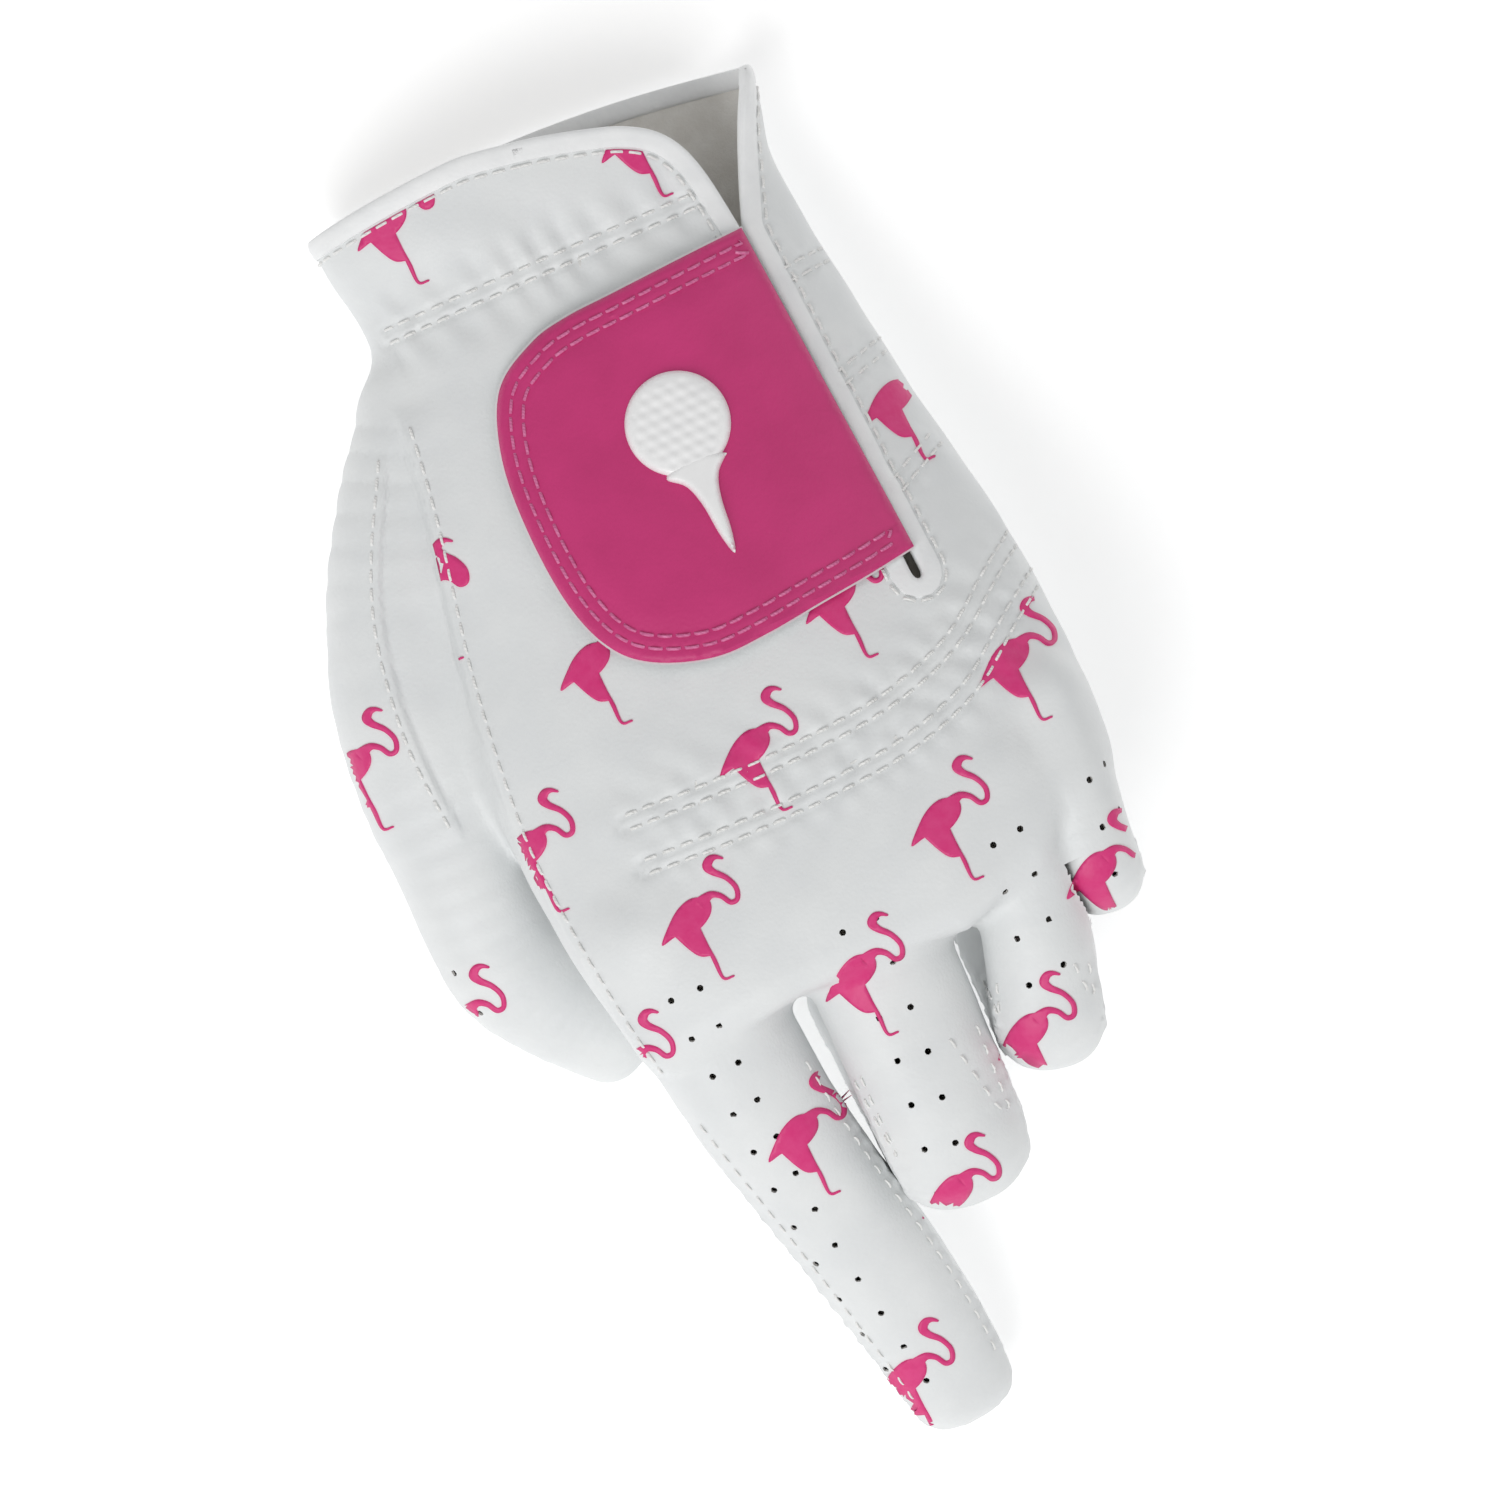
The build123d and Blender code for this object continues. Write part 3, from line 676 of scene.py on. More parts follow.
def plate(part, outlines, top, bottom, step, look=0, cuts=(), keep=None, clearOf=0.45):
    # a thin solid over one or more outlines in plan; top and bottom turn plan points into space
    verts, loops, edges = [], [], []
    for loop in outlines:
        loop = loop[:-1] if np.allclose(loop[0], loop[-1]) else loop
        loops.append(list(range(len(verts), len(verts) + len(loop))))
        verts += loop.tolist()
    for cut in cuts:
        edges += [(len(verts) + i, len(verts) + i + 1) for i in range(len(cut) - 1)]
        verts += cut.tolist()
    border = np.array(verts)
    low, high = border[:, :2].min(0), border[:, :2].max(0)
    gx, gy = np.meshgrid(np.arange(low[0], high[0], step), np.arange(low[1], high[1], step * 0.87))
    gx = gx + (np.arange(len(gx)) % 2)[:, None] * step / 2
    gx, gy = gx.ravel(), gy.ravel()
    inside = np.zeros(len(gx), bool)
    for loop in outlines:
        near, _ = nearestOnLine(gx, gy, np.vstack([loop, loop[:1]]))
        inside |= insideOutline(gx, gy, loop) & (near > step * clearOf)
    verts += np.stack([gx[inside], gy[inside]], 1).tolist()
    filled = delaunay_2d_cdt([Vector(v) for v in verts], edges, loops, 1, 1e-4)
    flat = np.array([tuple(v) for v in filled[0]])
    tris = np.array([list(f) for f in filled[2] if len(f) == 3])
    if keep is not None:
        tris = tris[keep(flat[tris].mean(1))]
    if not len(tris):
        return
    flat, tris = dropUnused(flat, tris)
    a, b, c = flat[tris[:, 0]], flat[tris[:, 1]], flat[tris[:, 2]]
    turned = (b[:, 0] - a[:, 0]) * (c[:, 1] - a[:, 1]) - (b[:, 1] - a[:, 1]) * (c[:, 0] - a[:, 0]) < 0
    tris[turned] = tris[turned][:, ::-1]
    edge = np.vstack([tris[:, [i, (i + 1) % 3]] for i in range(3)])
    _, index, times = np.unique(np.sort(edge, 1), axis=0, return_index=True, return_counts=True)
    edge = edge[index[times == 1]]
    count = len(flat)
    start = part.count
    part.add(top(flat), tris, look)
    part.add(bottom(flat), tris[:, ::-1], look)
    part.join(wallOver(edge, count), start, look)


def skinRings(part, rings, turned):
    # a closed solid through rings of points, capped at both ends
    grid = np.stack(rings, 1)
    count, cols = grid.shape[:2]
    i = np.arange(count - 1)
    quads = []
    for j in range(cols):
        k = (j + 1) % cols
        quad = [i * cols + j, i * cols + k, (i + 1) * cols + k, (i + 1) * cols + j]
        quads.append(np.stack(quad if turned else quad[:1] + quad[:0:-1], 1))
    start = part.count
    part.add(grid.reshape(-1, 3), np.vstack(quads))
    caps = [list(range(cols)), [(count - 1) * cols + j for j in range(cols)]]
    caps[0 if turned else 1].reverse()
    part.join(caps, start)


thread = {
    "radius": 0.24,
    "length": 2.15,
    "sides": 7,
    "heights": [(-0.5, -0.34), (-0.46, 0.02), (-0.3, 0.2), (0.0, 0.26), (0.3, 0.2), (0.46, 0.02), (0.5, -0.34)],
}


def stitches(part, spots, normals, pitch=3.0, look=0, size=1.0):
    # short bent threads, one each pitch, along points that lie on a surface
    along = runningLength(spots)
    count = int(along[-1] / pitch)
    if count < 1:
        return
    turn = np.arange(thread["sides"]) * 2 * np.pi / thread["sides"]
    for k in range(count):
        middle = (k + 0.5) * along[-1] / count
        rings = []
        places = [middle + f * thread["length"] * size for f, _ in thread["heights"]]
        centre = np.stack([np.interp(places, along, spots[:, i]) for i in range(3)], 1)
        n = unit(np.array([np.interp(middle, along, normals[:, i]) for i in range(3)]))
        way = unit(centre[-1] - centre[0])
        side = unit(np.cross(way, n))
        for spot, (_, high) in zip(centre, thread["heights"]):
            axis = spot + n * (high * size)
            about = np.cos(turn)[:, None] * side + np.sin(turn)[:, None] * n
            rings.append(axis + thread["radius"] * size * about)
        points = np.vstack(rings)
        sides = thread["sides"]
        faces = [[r * sides + j, r * sides + (j + 1) % sides, (r + 1) * sides + (j + 1) % sides,
                  (r + 1) * sides + j] for r in range(len(rings) - 1) for j in range(sides)]
        part.add(points, faces, look)


# Breathing holes: columns in plan, and how many in each
punched = {
    "index": [([(28.1, 68), (26.9, 90), (25.5, 112), (20.7, 140)], 12),
              ([(33.1, 68), (31.3, 90), (29.8, 112), (25.9, 135.8)], 11)],
    "middle": [([(-1.5, 69), (-0.5, 93), (2.3, 114)], 7), ([(4.2, 69), (4.5, 92), (7.1, 112.8)], 7)],
    "ring": [([(-27.8, 65.4), (-25.5, 87.7)], 4), ([(-22.9, 66), (-18, 96)], 5)],
    "little": [([(-40.9, 62.8), (-38.7, 78)], 3), ([(-44.1, 61.5), (-43.4, 69)], 2)],
    "thumb": [([(63.2, 50.5), (62.0, 58)], 2)],
}
holeRadius = 0.56

print("finding normals")
fieldOf = {"hand": handField}
for name in list(skins):
    if name != "hand":
        fieldOf[name] = lambda p, name=name: fingerField(p, name)
normalsOf = {name: fieldNormals(fieldOf[name], skins[name][0]) for name in skins}


def joined(names):
    points, faces, total = [], [], 0
    for name in names:
        p, f = skins[name]
        points.append(p)
        faces.append(f + total)
        total += len(p)
    return np.vstack(points), np.vstack(faces)


allPoints, allFaces = joined(skins)
tree = BVHTree.FromPolygons(allPoints.tolist(), allFaces.tolist())
handTree = BVHTree.FromPolygons(skins["hand"][0].tolist(), skins["hand"][1].tolist())


def dropOnto(xy, which=tree, nearMiss=False):
    # points straight down onto the glove; normals point up; misses keep NaN
    spots = np.full((len(xy), 3), np.nan)
    faces = np.full((len(xy), 3), np.nan)
    for i, (x, y) in enumerate(np.asarray(xy)[:, :2]):
        hit, n, _, _ = which.ray_cast(Vector((x, y, 90)), Vector((0, 0, -1)))
        if hit is None and nearMiss:
            hit, n, _, _ = which.find_nearest(Vector((x, y, 15)))
        if hit is not None:
            spots[i] = hit
            faces[i] = n if n.z > 0 else -n
    return spots, faces


def onSkin(lift, which=tree, nearMiss=False):
    def place(flat):
        spots, n = dropOnto(flat, which, nearMiss)
        return spots + n * lift
    return place


def nearestSkin(points, which=tree):
    spots, faces = np.zeros_like(points), np.zeros_like(points)
    for i, p in enumerate(points):
        hit, n, _, _ = which.find_nearest(Vector(p))
        spots[i] = hit
        faces[i] = n
    return spots, faces


openPoints = {name: set() for name in skins}
edges, _ = boundaryEdges(skins["hand"][1])
rim = np.unique(edges)
x, y, z = skins["hand"][0][rim].T
nearOutline, _ = nearestOnLine(x, y, outline)
atCuff = y < cuffY(x) + 0.05
atSlit = (nearOutline < 0.05) & (z > middleHeight(y) - 2)
openPoints["hand"] = set(rim[atCuff | atSlit].tolist())
for name, columns in punched.items():
    spots, _ = dropOnto(np.vstack([spread(line, count) for line, count in columns]))
    spots = spots[~np.isnan(spots[:, 0])]
    for skin in {name, "hand"} & set(skins):
        points, faces = skins[skin]
        close = [s for s in spots if np.min(np.linalg.norm(points - s, axis=1)) < 0.7]
        if skin == "hand":
            close = [s for s in close if s[1] < fingers[name]["split"] - 0.9]
        elif name != "hand":
            close = [s for s in close if s[1] > fingers[name]["split"] + 0.9]
        faces, ring = pierce(points, faces, normalsOf[skin], close, holeRadius)
        skins[skin] = (points, faces)
        openPoints[skin] |= ring


def labelHand(centre):
    # which leather piece each face belongs to
    x, y, z = centre.T
    middle = middleHeight(y)
    seamX = np.interp(y, radialSeam[:, 1], radialSeam[:, 0])
    label = np.where((z > middle) & (x < seamX), "back", "palm").astype(object)
    thumb, place = tubeDistance(centre, fingers["thumb"]["line"], fingers["thumb"]["across"])
    onThumb = (thumb < handDistance(centre)) & (label != "back") & (y > -40)
    web = (label != "back") & (z > middle) & (y > -40) & (y < 12)
    label[onThumb & (place[:, 1] <= 0.05)] = "thumb palm"
    label[(onThumb & (place[:, 1] > 0.05)) | web] = "thumb back"
    best = np.full(len(x), 99.0)
    for i, name in enumerate(fingerNames):
        d, place = tubeDistance(centre, fingers[name]["stub"], fingers[name]["across"])
        on = (d < best) & (y > 62 - 3 * i) & (label != "thumb back") & (label != "thumb palm")
        best = np.minimum(best, d)
        label[on] = np.where(place[on, 1] > 0.28, "back", "palm")
        for side, pair in ((-1, i), (1, i - 1)):
            if 0 <= pair < 3:
                strip = on & (np.abs(place[:, 1]) <= 0.28) & (place[:, 0] * side > 0)
                label[strip] = "strip %d" % pair
    return label


def labelFinger(centre, name):
    finger = fingers[name]
    _, place = tubeDistance(centre, finger["line"], finger["across"])
    label = np.where(place[:, 1] > 0.28, "back", "palm").astype(object)
    for side in finger["sides"]:
        label[(np.abs(place[:, 1]) <= 0.28) & (place[:, 0] * side > 0)] = "strip"
    if name == "thumb":
        label = np.where(place[:, 1] > 0.05, "back", "palm").astype(object)
    return label


# Finishes

colours = {
    "leather": "#E9EBEB",
    "print": "#DB2D7A",
    "pinkLeather": "#D0327A",
    "pinkThread": "#E07BAB",
    "thread": "#F2F2F0",
    "fleshSide": "#E9E7E2",
    "elastic": "#EFEFED",
    "hook": "#DADADA",
    "loop": "#E6E6E4",
    "badge": "#FBFBFB",
    "binding": "#F5F6F6",
}


def startMaterial(name, colour, roughness, **inputs):
    material = bpy.data.materials.new(name)
    material.use_nodes = True
    tree = material.node_tree
    shader = tree.nodes["Principled BSDF"]
    shader.inputs["Base Color"].default_value = linearColour(colour)
    shader.inputs["Roughness"].default_value = roughness
    for key, value in inputs.items():
        shader.inputs[key.replace("_", " ")].default_value = value
    return material, tree, shader


def speckle(tree, shader, colour, other, scale, amount):
    # one colour drifting softly towards another
    spots = addNode(tree, "ShaderNodeTexCoord").outputs["Object"]
    noise = addNode(tree, "ShaderNodeTexNoise", {"Vector": spots},
                    {"Scale": scale, "Detail": 4.0, "Roughness": 0.55})
    ramp = addNode(tree, "ShaderNodeMapRange", {"Value": noise.outputs["Fac"]},
                   {"From Min": 0.35, "From Max": 0.65, "To Min": 0.0, "To Max": amount})
    mix = addNode(tree, "ShaderNodeMix", {"Factor": ramp.outputs["Result"]}, data_type="RGBA")
    mix.inputs["A"].default_value = linearColour(colour)
    mix.inputs["B"].default_value = linearColour(other)
    tree.links.new(mix.outputs["Result"], shader.inputs["Base Color"])


def grain(tree, shader, layers):
    # bumps laid one over another: (kind, size in mm, depth in mm)
    spots = addNode(tree, "ShaderNodeTexCoord").outputs["Object"]
    last = None
    for kind, size, depth in layers:
        scale = 1 / (size * mm)
        if kind == "pebble":
            height = addNode(tree, "ShaderNodeTexVoronoi", {"Vector": spots}, {"Scale": scale},
                             feature="SMOOTH_F1").outputs["Distance"]
        elif kind == "weave":
            height = addNode(tree, "ShaderNodeTexWave", {"Vector": spots},
                             {"Scale": scale / 3.14, "Distortion": 1.0, "Detail": 1.0},
                             bands_direction="DIAGONAL").outputs["Fac"]
        else:
            height = addNode(tree, "ShaderNodeTexNoise", {"Vector": spots},
                             {"Scale": scale, "Detail": 5.0, "Roughness": 0.6}).outputs["Fac"]
        links = {"Height": height}
        if last is not None:
            links["Normal"] = last
        bump = addNode(tree, "ShaderNodeBump", links, {"Distance": depth * mm, "Strength": 0.8})
        last = bump.outputs["Normal"]
    tree.links.new(last, shader.inputs["Normal"])


def makeFinish(name, colour, roughness, drift, layers, **inputs):
    # drift: the second colour, how fine its patches are, how much of it
    material, tree, shader = startMaterial(name, colour, roughness, **inputs)
    speckle(tree, shader, colour, *drift)
    grain(tree, shader, layers)
    return material


# drum-dyed glove sheepskin, pressed smooth: a soft sheen over a very fine grain,
# which is really nearer 0.3 mm and is drawn at 0.6 mm so that it holds at this size
sheepGrain = [("cloud", 5.0, 0.10), ("pebble", 0.6, 0.05), ("cloud", 0.35, 0.03)]
whiteLeather = makeFinish("sheepskin, white, drum dyed", colours["leather"], 0.5, ("#DADDDF", 90.0, 0.35),
                          sheepGrain, Sheen_Weight=0.08, Sheen_Roughness=0.5)
pinkLeather = makeFinish("sheepskin, pink, drum dyed", colours["pinkLeather"], 0.5, ("#C02A6E", 90.0, 0.5),
                         sheepGrain, Sheen_Weight=0.08, Sheen_Roughness=0.5)

# screen-printed ink sinks into the leather and keeps a little of its grain
printInk = makeFinish("ink, screen printed on leather", colours["print"], 0.48, ("#E4508F", 500.0, 0.35),
                      [("pebble", 0.6, 0.04)])

# the flesh side is napped, so it looks dry and a shade warmer
fleshSide = makeFinish("sheepskin, flesh side, buffed", colours["fleshSide"], 0.92, ("#DAD6CF", 300.0, 0.6),
                       [("cloud", 0.5, 0.12)], Sheen_Weight=0.3)

# folded binding leather, a little glossier where it is stretched over the edge
bindingLeather = makeFinish("binding leather, folded and pressed", colours["binding"], 0.45,
                            ("#E4E6E8", 160.0, 0.4), [("cloud", 2.2, 0.12), ("pebble", 0.6, 0.04)])

# bonded polyester thread: twisted, slightly shiny
twist = [("weave", 0.4, 0.08)]
whiteThread = makeFinish("polyester thread, bonded white", colours["thread"], 0.42,
                         ("#DEDEDC", 900.0, 0.5), twist)
pinkThread = makeFinish("polyester thread, bonded pink", colours["pinkThread"], 0.42,
                        ("#B83A78", 900.0, 0.5), twist)

# woven elastic: fine ribs across its length
elasticBand = makeFinish("elastic, woven white", colours["elastic"], 0.8, ("#D9D9D6", 700.0, 0.5),
                         [("weave", 0.9, 0.15)])

# nylon hook tape is shiny between its hooks; the loop side is matt and furry
hookTape = makeFinish("nylon hook tape, moulded", colours["hook"], 0.4, ("#BDBDBD", 900.0, 0.8),
                      [("pebble", 1.1, 0.5)])
loopTape = makeFinish("nylon loop tape, brushed", colours["loop"], 0.95, ("#CFCFCC", 900.0, 0.7),
                      [("cloud", 0.7, 0.4)], Sheen_Weight=0.5)

# soft moulded badge: satin, with the faint orange peel of a mould
badgePlastic = makeFinish("soft plastic, moulded white", colours["badge"], 0.32, ("#EFEFF0", 200.0, 0.4),
                          [("cloud", 0.8, 0.02)])


# Leather pieces

print("cutting the leather into its pieces")
leatherParts = {}


def leather(name):
    return leatherParts.setdefault(name, Part(name))


thick = hand["leather"]
points, faces = skins["hand"]
labels = labelHand(points[faces].mean(1))
handPieces = {
    "back": "back of hand",
    "palm": "palm",
    "thumb back": "thumb back half",
    "thumb palm": "thumb palm half",
    "strip 0": "strip index to middle",
    "strip 1": "strip middle to ring",
    "strip 2": "strip ring to little",
}
for label, name in handPieces.items():
    thicken(leather(name), points, faces[labels == label], normalsOf["hand"], openPoints["hand"], thick)
for name in skins:
    if name == "hand":
        continue
    points, faces = skins[name]
    labels = labelFinger(points[faces].mean(1), name)
    for label in sorted(set(labels)):
        title = "thumb " + label + " half" if name == "thumb" else name + " finger " + label
        thicken(leather(title), points, faces[labels == label], normalsOf[name], openPoints[name], thick)


# Printed birds

bird = {
    "body": [(0.3, -3.9), (2.6, -4.4), (5.0, -3.6), (7.2, -1.9), (9.4, 0.5), (6.8, 0.1), (4.6, 0.7), (2.4, 0.3),
             (0.4, -1.0), (-0.3, -2.6)],
    "strokes": [  # x, y, half width along each centre line
        [(1.4, -3.0, 1.2), (-0.7, -3.7, 0.6), (-2.2, -2.9, 0.42), (-3.2, -1.4, 0.4), (-4.4, -1.5, 0.4),
         (-4.9, -3.2, 0.4), (-4.1, -5.2, 0.42), (-2.6, -6.8, 0.55), (-2.1, -8.0, 0.75), (-2.9, -8.8, 0.62),
         (-3.9, -8.8, 0.36), (-4.8, -8.2, 0.18)],
        [(3.2, 0.2, 0.42), (2.9, 3.4, 0.24), (2.75, 6.0, 0.33), (2.6, 9.0, 0.22), (1.0, 9.35, 0.16)],
        [(6.8, -0.4, 0.34), (5.6, 2.6, 0.2), (4.4, 4.2, 0.3), (3.0, 4.9, 0.16)],
    ],
    "places": [(20, 140), (20, 97), (21.5, 59), (20, 16), (21.5, -61), (1.5, 115.5), (1.5, 77.5), (2.5, 38.5),
               (-19.5, 97), (-20.5, 60.5), (-19.5, 22), (-19.5, -58), (-39.5, 78), (-40.5, 42), (-40.5, -3),
               (40.5, 77), (41, 39), (40.5, -4), (62.5, 60), (61.5, 16)],
    "above": 0.16,
    "below": 0.25,
    "step": 0.65,   # how fine its mesh is
}


def strokeOutline(line):
    line = smoothLine(line, 6)
    way = unit(np.gradient(line[:, :2], axis=0))
    side = np.stack([-way[:, 1], way[:, 0]], 1) * line[:, 2:3]
    cap = way[-1] * line[-1, 2]
    return np.vstack([line[:, :2] + side, [line[-1, :2] + cap], (line[:, :2] - side)[::-1]])


birdLoops = [smoothLine(bird["body"] + bird["body"][:1], 5)[:-1]] + [strokeOutline(s) for s in bird["strokes"]]


inset = 3.1  # a print stops this far inside a bound edge
cuffX = np.linspace(-20, 36, 40)
cuffTrim = np.stack([cuffX, cuffY(cuffX) + inset], 1)
openingTrim = sideways(outline, inset)
beyondCuff = [(20.0, -90.0), (-39.5, -90.0)]


def printBird(centre):
    loops = [loop + np.array(centre) for loop in birdLoops]
    x, y = centre

    def keep(flat):
        spots, n = dropOnto(flat)
        good = ~np.isnan(spots[:, 0])
        seamX = np.interp(flat[:, 1], radialSeam[:, 1], radialSeam[:, 0])
        good &= (n[:, 2] > 0.42) & (flat[:, 1] > cuffY(flat[:, 0]) + inset)
        if x > 55:  # on the thumb
            good &= spots[:, 2] < 32
        elif y < 84:
            good &= flat[:, 0] < seamX - 0.2
        good &= ~insideOutline(flat[:, 0], flat[:, 1], openingRing)
        return good & ~insideOutline(flat[:, 0], flat[:, 1], np.vstack([openingTrim, beyondCuff]))

    cuts = []
    if 30 < x < 55 and y < 84:
        cuts.append(radialSeam[:, :2] - np.array([0.2, 0.0]))
    if y < -50:
        cuts += [cuffTrim, openingTrim]
    part = Part("print")
    above, below = onSkin(bird["above"], nearMiss=True), onSkin(-bird["below"], nearMiss=True)
    plate(part, loops, above, below, bird["step"], cuts=cuts, keep=keep)
    return part


def homeOf(centre):
    x, y = centre
    if x > 55:
        return "thumb back half"
    owner = {20: "index", 1.5: "middle", -19.5: "ring", -39.5: "little"}.get(x)
    if owner and y > fingers[owner]["split"] - 5:
        return owner + " finger back"
    return "back of hand"


print("printing the birds")
for centre in bird["places"]:
    stamp = printBird(centre)
    if stamp.count:
        good = np.vstack(stamp.points)
        if np.isnan(good).any():
            print("  a bird runs off the leather at", centre)
            good = np.nan_to_num(good)
        leather(homeOf(centre)).add(good, stamp.faces, 2)

made = {}
for name, part in leatherParts.items():
    made[name] = part.make("white_leather", whiteLeather, fleshSide, printInk)
    print(" ", name, len(part.faces), "faces")

# Bound edges: one strip of leather folded over the cuff, the V and the slit

binding = {
    "reach": 2.7,   # how far it lies on the leather
    "height": 0.55,
    "beyond": 0.6,  # how far it stands out past the cut edge
}


def rimLoop():
    points, faces = skins["hand"]
    edges, _ = boundaryEdges(faces)
    opened = openPoints["hand"]
    follow = {int(a): int(b) for a, b in edges if int(a) in opened and int(b) in opened}
    loops = []
    while follow:
        first = next(iter(follow))
        loop, at = [], first
        while at in follow:
            loop.append(at)
            at = follow.pop(at)
        loops.append(loop)
    return max(loops, key=len)


def softened(path, rounds):
    for _ in range(rounds):
        path = (np.roll(path, 1, 0) + 2 * path + np.roll(path, -1, 0)) / 4
    return path


def bindingPath():
    path = softened(skins["hand"][0][rimLoop()], 2)
    path = evenly(np.vstack([path, path[:1]]), 0.8)[:-1]
    path = softened(path, 3)
    n = unit(fieldNormals(handField, path))
    n = unit(softened(n, 4))
    way = unit(np.roll(path, -1, 0) - np.roll(path, 1, 0))
    side = unit(np.cross(way, n))
    # towards the leather, wherever the loop runs
    test, _ = nearestSkin(path + side * 2.0, handTree)
    other, _ = nearestSkin(path - side * 2.0, handTree)
    wrong = np.linalg.norm(test - path, axis=1).mean() < np.linalg.norm(other - path, axis=1).mean()
    return path, n, -side if wrong else side


print("binding the edges")
path, pathNormals, pathSides = bindingPath()
r, h, b, t = binding["reach"], binding["height"], binding["beyond"], hand["leather"]
outerProfile = [(r + 0.1, -0.1), (r, h * 0.55), (r - 0.5, h * 0.8), (r * 0.55, h), (0.6, h + 0.05), (0.0, h)]
edgeProfile = [(-b * 0.8, h * 0.45), (-b, -0.35), (-b * 0.8, -t - 0.3)]
innerProfile = [(0.0, -t - h * 0.9), (r * 0.5, -t - h), (r - 0.4, -t - h * 0.8), (r, -t - 0.05), (r, -t + 0.1)]


def boundStrip(part, path, normals, sides):
    # the lying parts follow the leather, the fold runs free round the edge
    rings = []
    for along, up in outerProfile + edgeProfile + innerProfile:
        spot = path + sides * along
        if along > 0.5:
            spot, _ = nearestSkin(spot, handTree)
        spot = spot + normals * up
        rings.append(spot)
    skinRings(part, rings, True)


onCuff = path[:, 1] < cuffY(path[:, 0]) + 1.3
first = np.where(onCuff & ~np.roll(onCuff, 1))[0]
first = int(first[0]) if len(first) else 0
path, pathNormals, pathSides, onCuff = (np.roll(a, -first, 0) for a in (path, pathNormals, pathSides, onCuff))
cuffEnd = int(np.argmax(~onCuff)) if (~onCuff).any() else len(path)
cuffRun = np.arange(-3, cuffEnd + 3) % len(path)
slitRun = np.arange(cuffEnd, len(path))
cuffStrip, slitStrip = Part("binding round the cuff"), Part("binding round the slit")
boundStrip(cuffStrip, path[cuffRun], pathNormals[cuffRun], pathSides[cuffRun])
slitNormals = pathNormals[slitRun]
overlap = 0.12  # the slit's strip ends over the cuff's
boundStrip(slitStrip, path[slitRun] + slitNormals * overlap, slitNormals, pathSides[slitRun])
bindingThread = Part("stitching of the bindings")
for run in (cuffRun, slitRun):
    seam, seamNormals = nearestSkin(path[run] + pathSides[run] * (binding["reach"] + 0.75), handTree)
    outward = np.sign(np.sum(seamNormals * pathNormals[run], 1))[:, None]
    stitches(bindingThread, seam, unit(softened(seamNormals * outward, 2)), pitch=2.9)
made["cuff binding"] = cuffStrip.make("binding", bindingLeather, crisp=True)
made["slit binding"] = slitStrip.make("binding", bindingLeather, crisp=True)


# Gathered rows over elastic

print("sewing the rows")


def alongSkin(line, step=0.6, which=tree):
    line = evenly(line, step)
    spots, normals = dropOnto(line, which)
    good = ~np.isnan(spots[:, 0])
    return spots[good], normals[good]


knuckleThread, wristThread = Part("stitching over the knuckles"), Part("stitching at the wrist")
for line in knuckleLines:
    for side in (-1, 1):
        stitches(knuckleThread, *alongSkin(sideways(line, side * rows["gap"])), pitch=rows["pitch"])
for line, part in [(wristLine, wristThread)] + [(u, wristThread) for u in ulnarLines]:
    for side in (-1, 1):
        stitches(part, *alongSkin(sideways(line, side * rows["gap"])), pitch=rows["pitch"])

seamThread = Part("stitching of the thumb side seam")
seamLine = radialSeam[(radialSeam[:, 1] > -33) & (radialSeam[:, 1] < 79), :2]
stitches(seamThread, *alongSkin(sideways(seamLine, 1.7)), pitch=2.9)
stitches(seamThread, *alongSkin(sideways(thumbSeam[5:, :2], -1.5)), pitch=2.9)


def fingerSeams(name, ends):
    # one row of thread just inside each edge of the finger's back
    finger = fingers[name]
    part = Part(name + " finger stitching")
    for side in (-1, 1):
        line = []
        for (x, y, z, wide, _), low, high in [(p, *ends) for p in finger["line"][:26]]:
            if low < y < high:
                line.append(np.array([x, y]) + finger["across"][:2] * side * wide * 0.84)
        if len(line) > 2:
            stitches(part, *alongSkin(smoothLine(line, 3)), pitch=3.0, size=0.85)
    return part.make("thread", whiteThread, crisp=True)


for name, ends in {"index": (85, 142), "middle": (89, 106), "ring": (85, 93)}.items():
    made[name + " finger stitching"] = fingerSeams(name, ends)


def tapeUnder(name, line, width):
    # a woven elastic strip against the inside of the back
    part = Part(name)
    spots, normals = alongSkin(line, 1.0, handTree)
    way = unit(np.gradient(spots, axis=0))
    side = unit(np.cross(way, normals))
    down = spots - normals * (hand["leather"] + 0.12)
    half = width / 2
    profile = [(-half, 0), (half, 0), (half, -0.6), (-half, -0.6)]
    skinRings(part, [down + side * along + normals * up for along, up in profile], False)
    return part.make("elastic", elasticBand, crisp=True)


tapeFront = tapeUnder("elastic under the front knuckle row", knuckleLines[0][4:-8], 4.2)
tapeRear = tapeUnder("elastic under the rear knuckle row", knuckleLines[1][4:-8], 4.2)
tapeWrist = tapeUnder("elastic at the wrist", wristLine, 4.4)


# Closing tab

tab = {
    "outline": [(-30.6, 18.1), (-22.5, 19.3), (-13.5, 20.3), (-4.0, 21.4), (4.9, 21.5), (14.1, 18.4),
                (19.6, 13.4), (22.9, 4.6), (24.1, -8.6), (23.2, -21.0), (19.2, -31.0), (11.6, -35.8),
                (5.0, -37.3), (-3.3, -37.8), (-14.5, -38.5), (-26.2, -39.2)],
    "rise": 1.5,      # lowest face above the back of the hand
    "lining": 0.7,
    "leather": 1.1,
    "peek": 0.3,      # how far the white lining shows past the pink
    "rows": (2.2, 4.2),
}


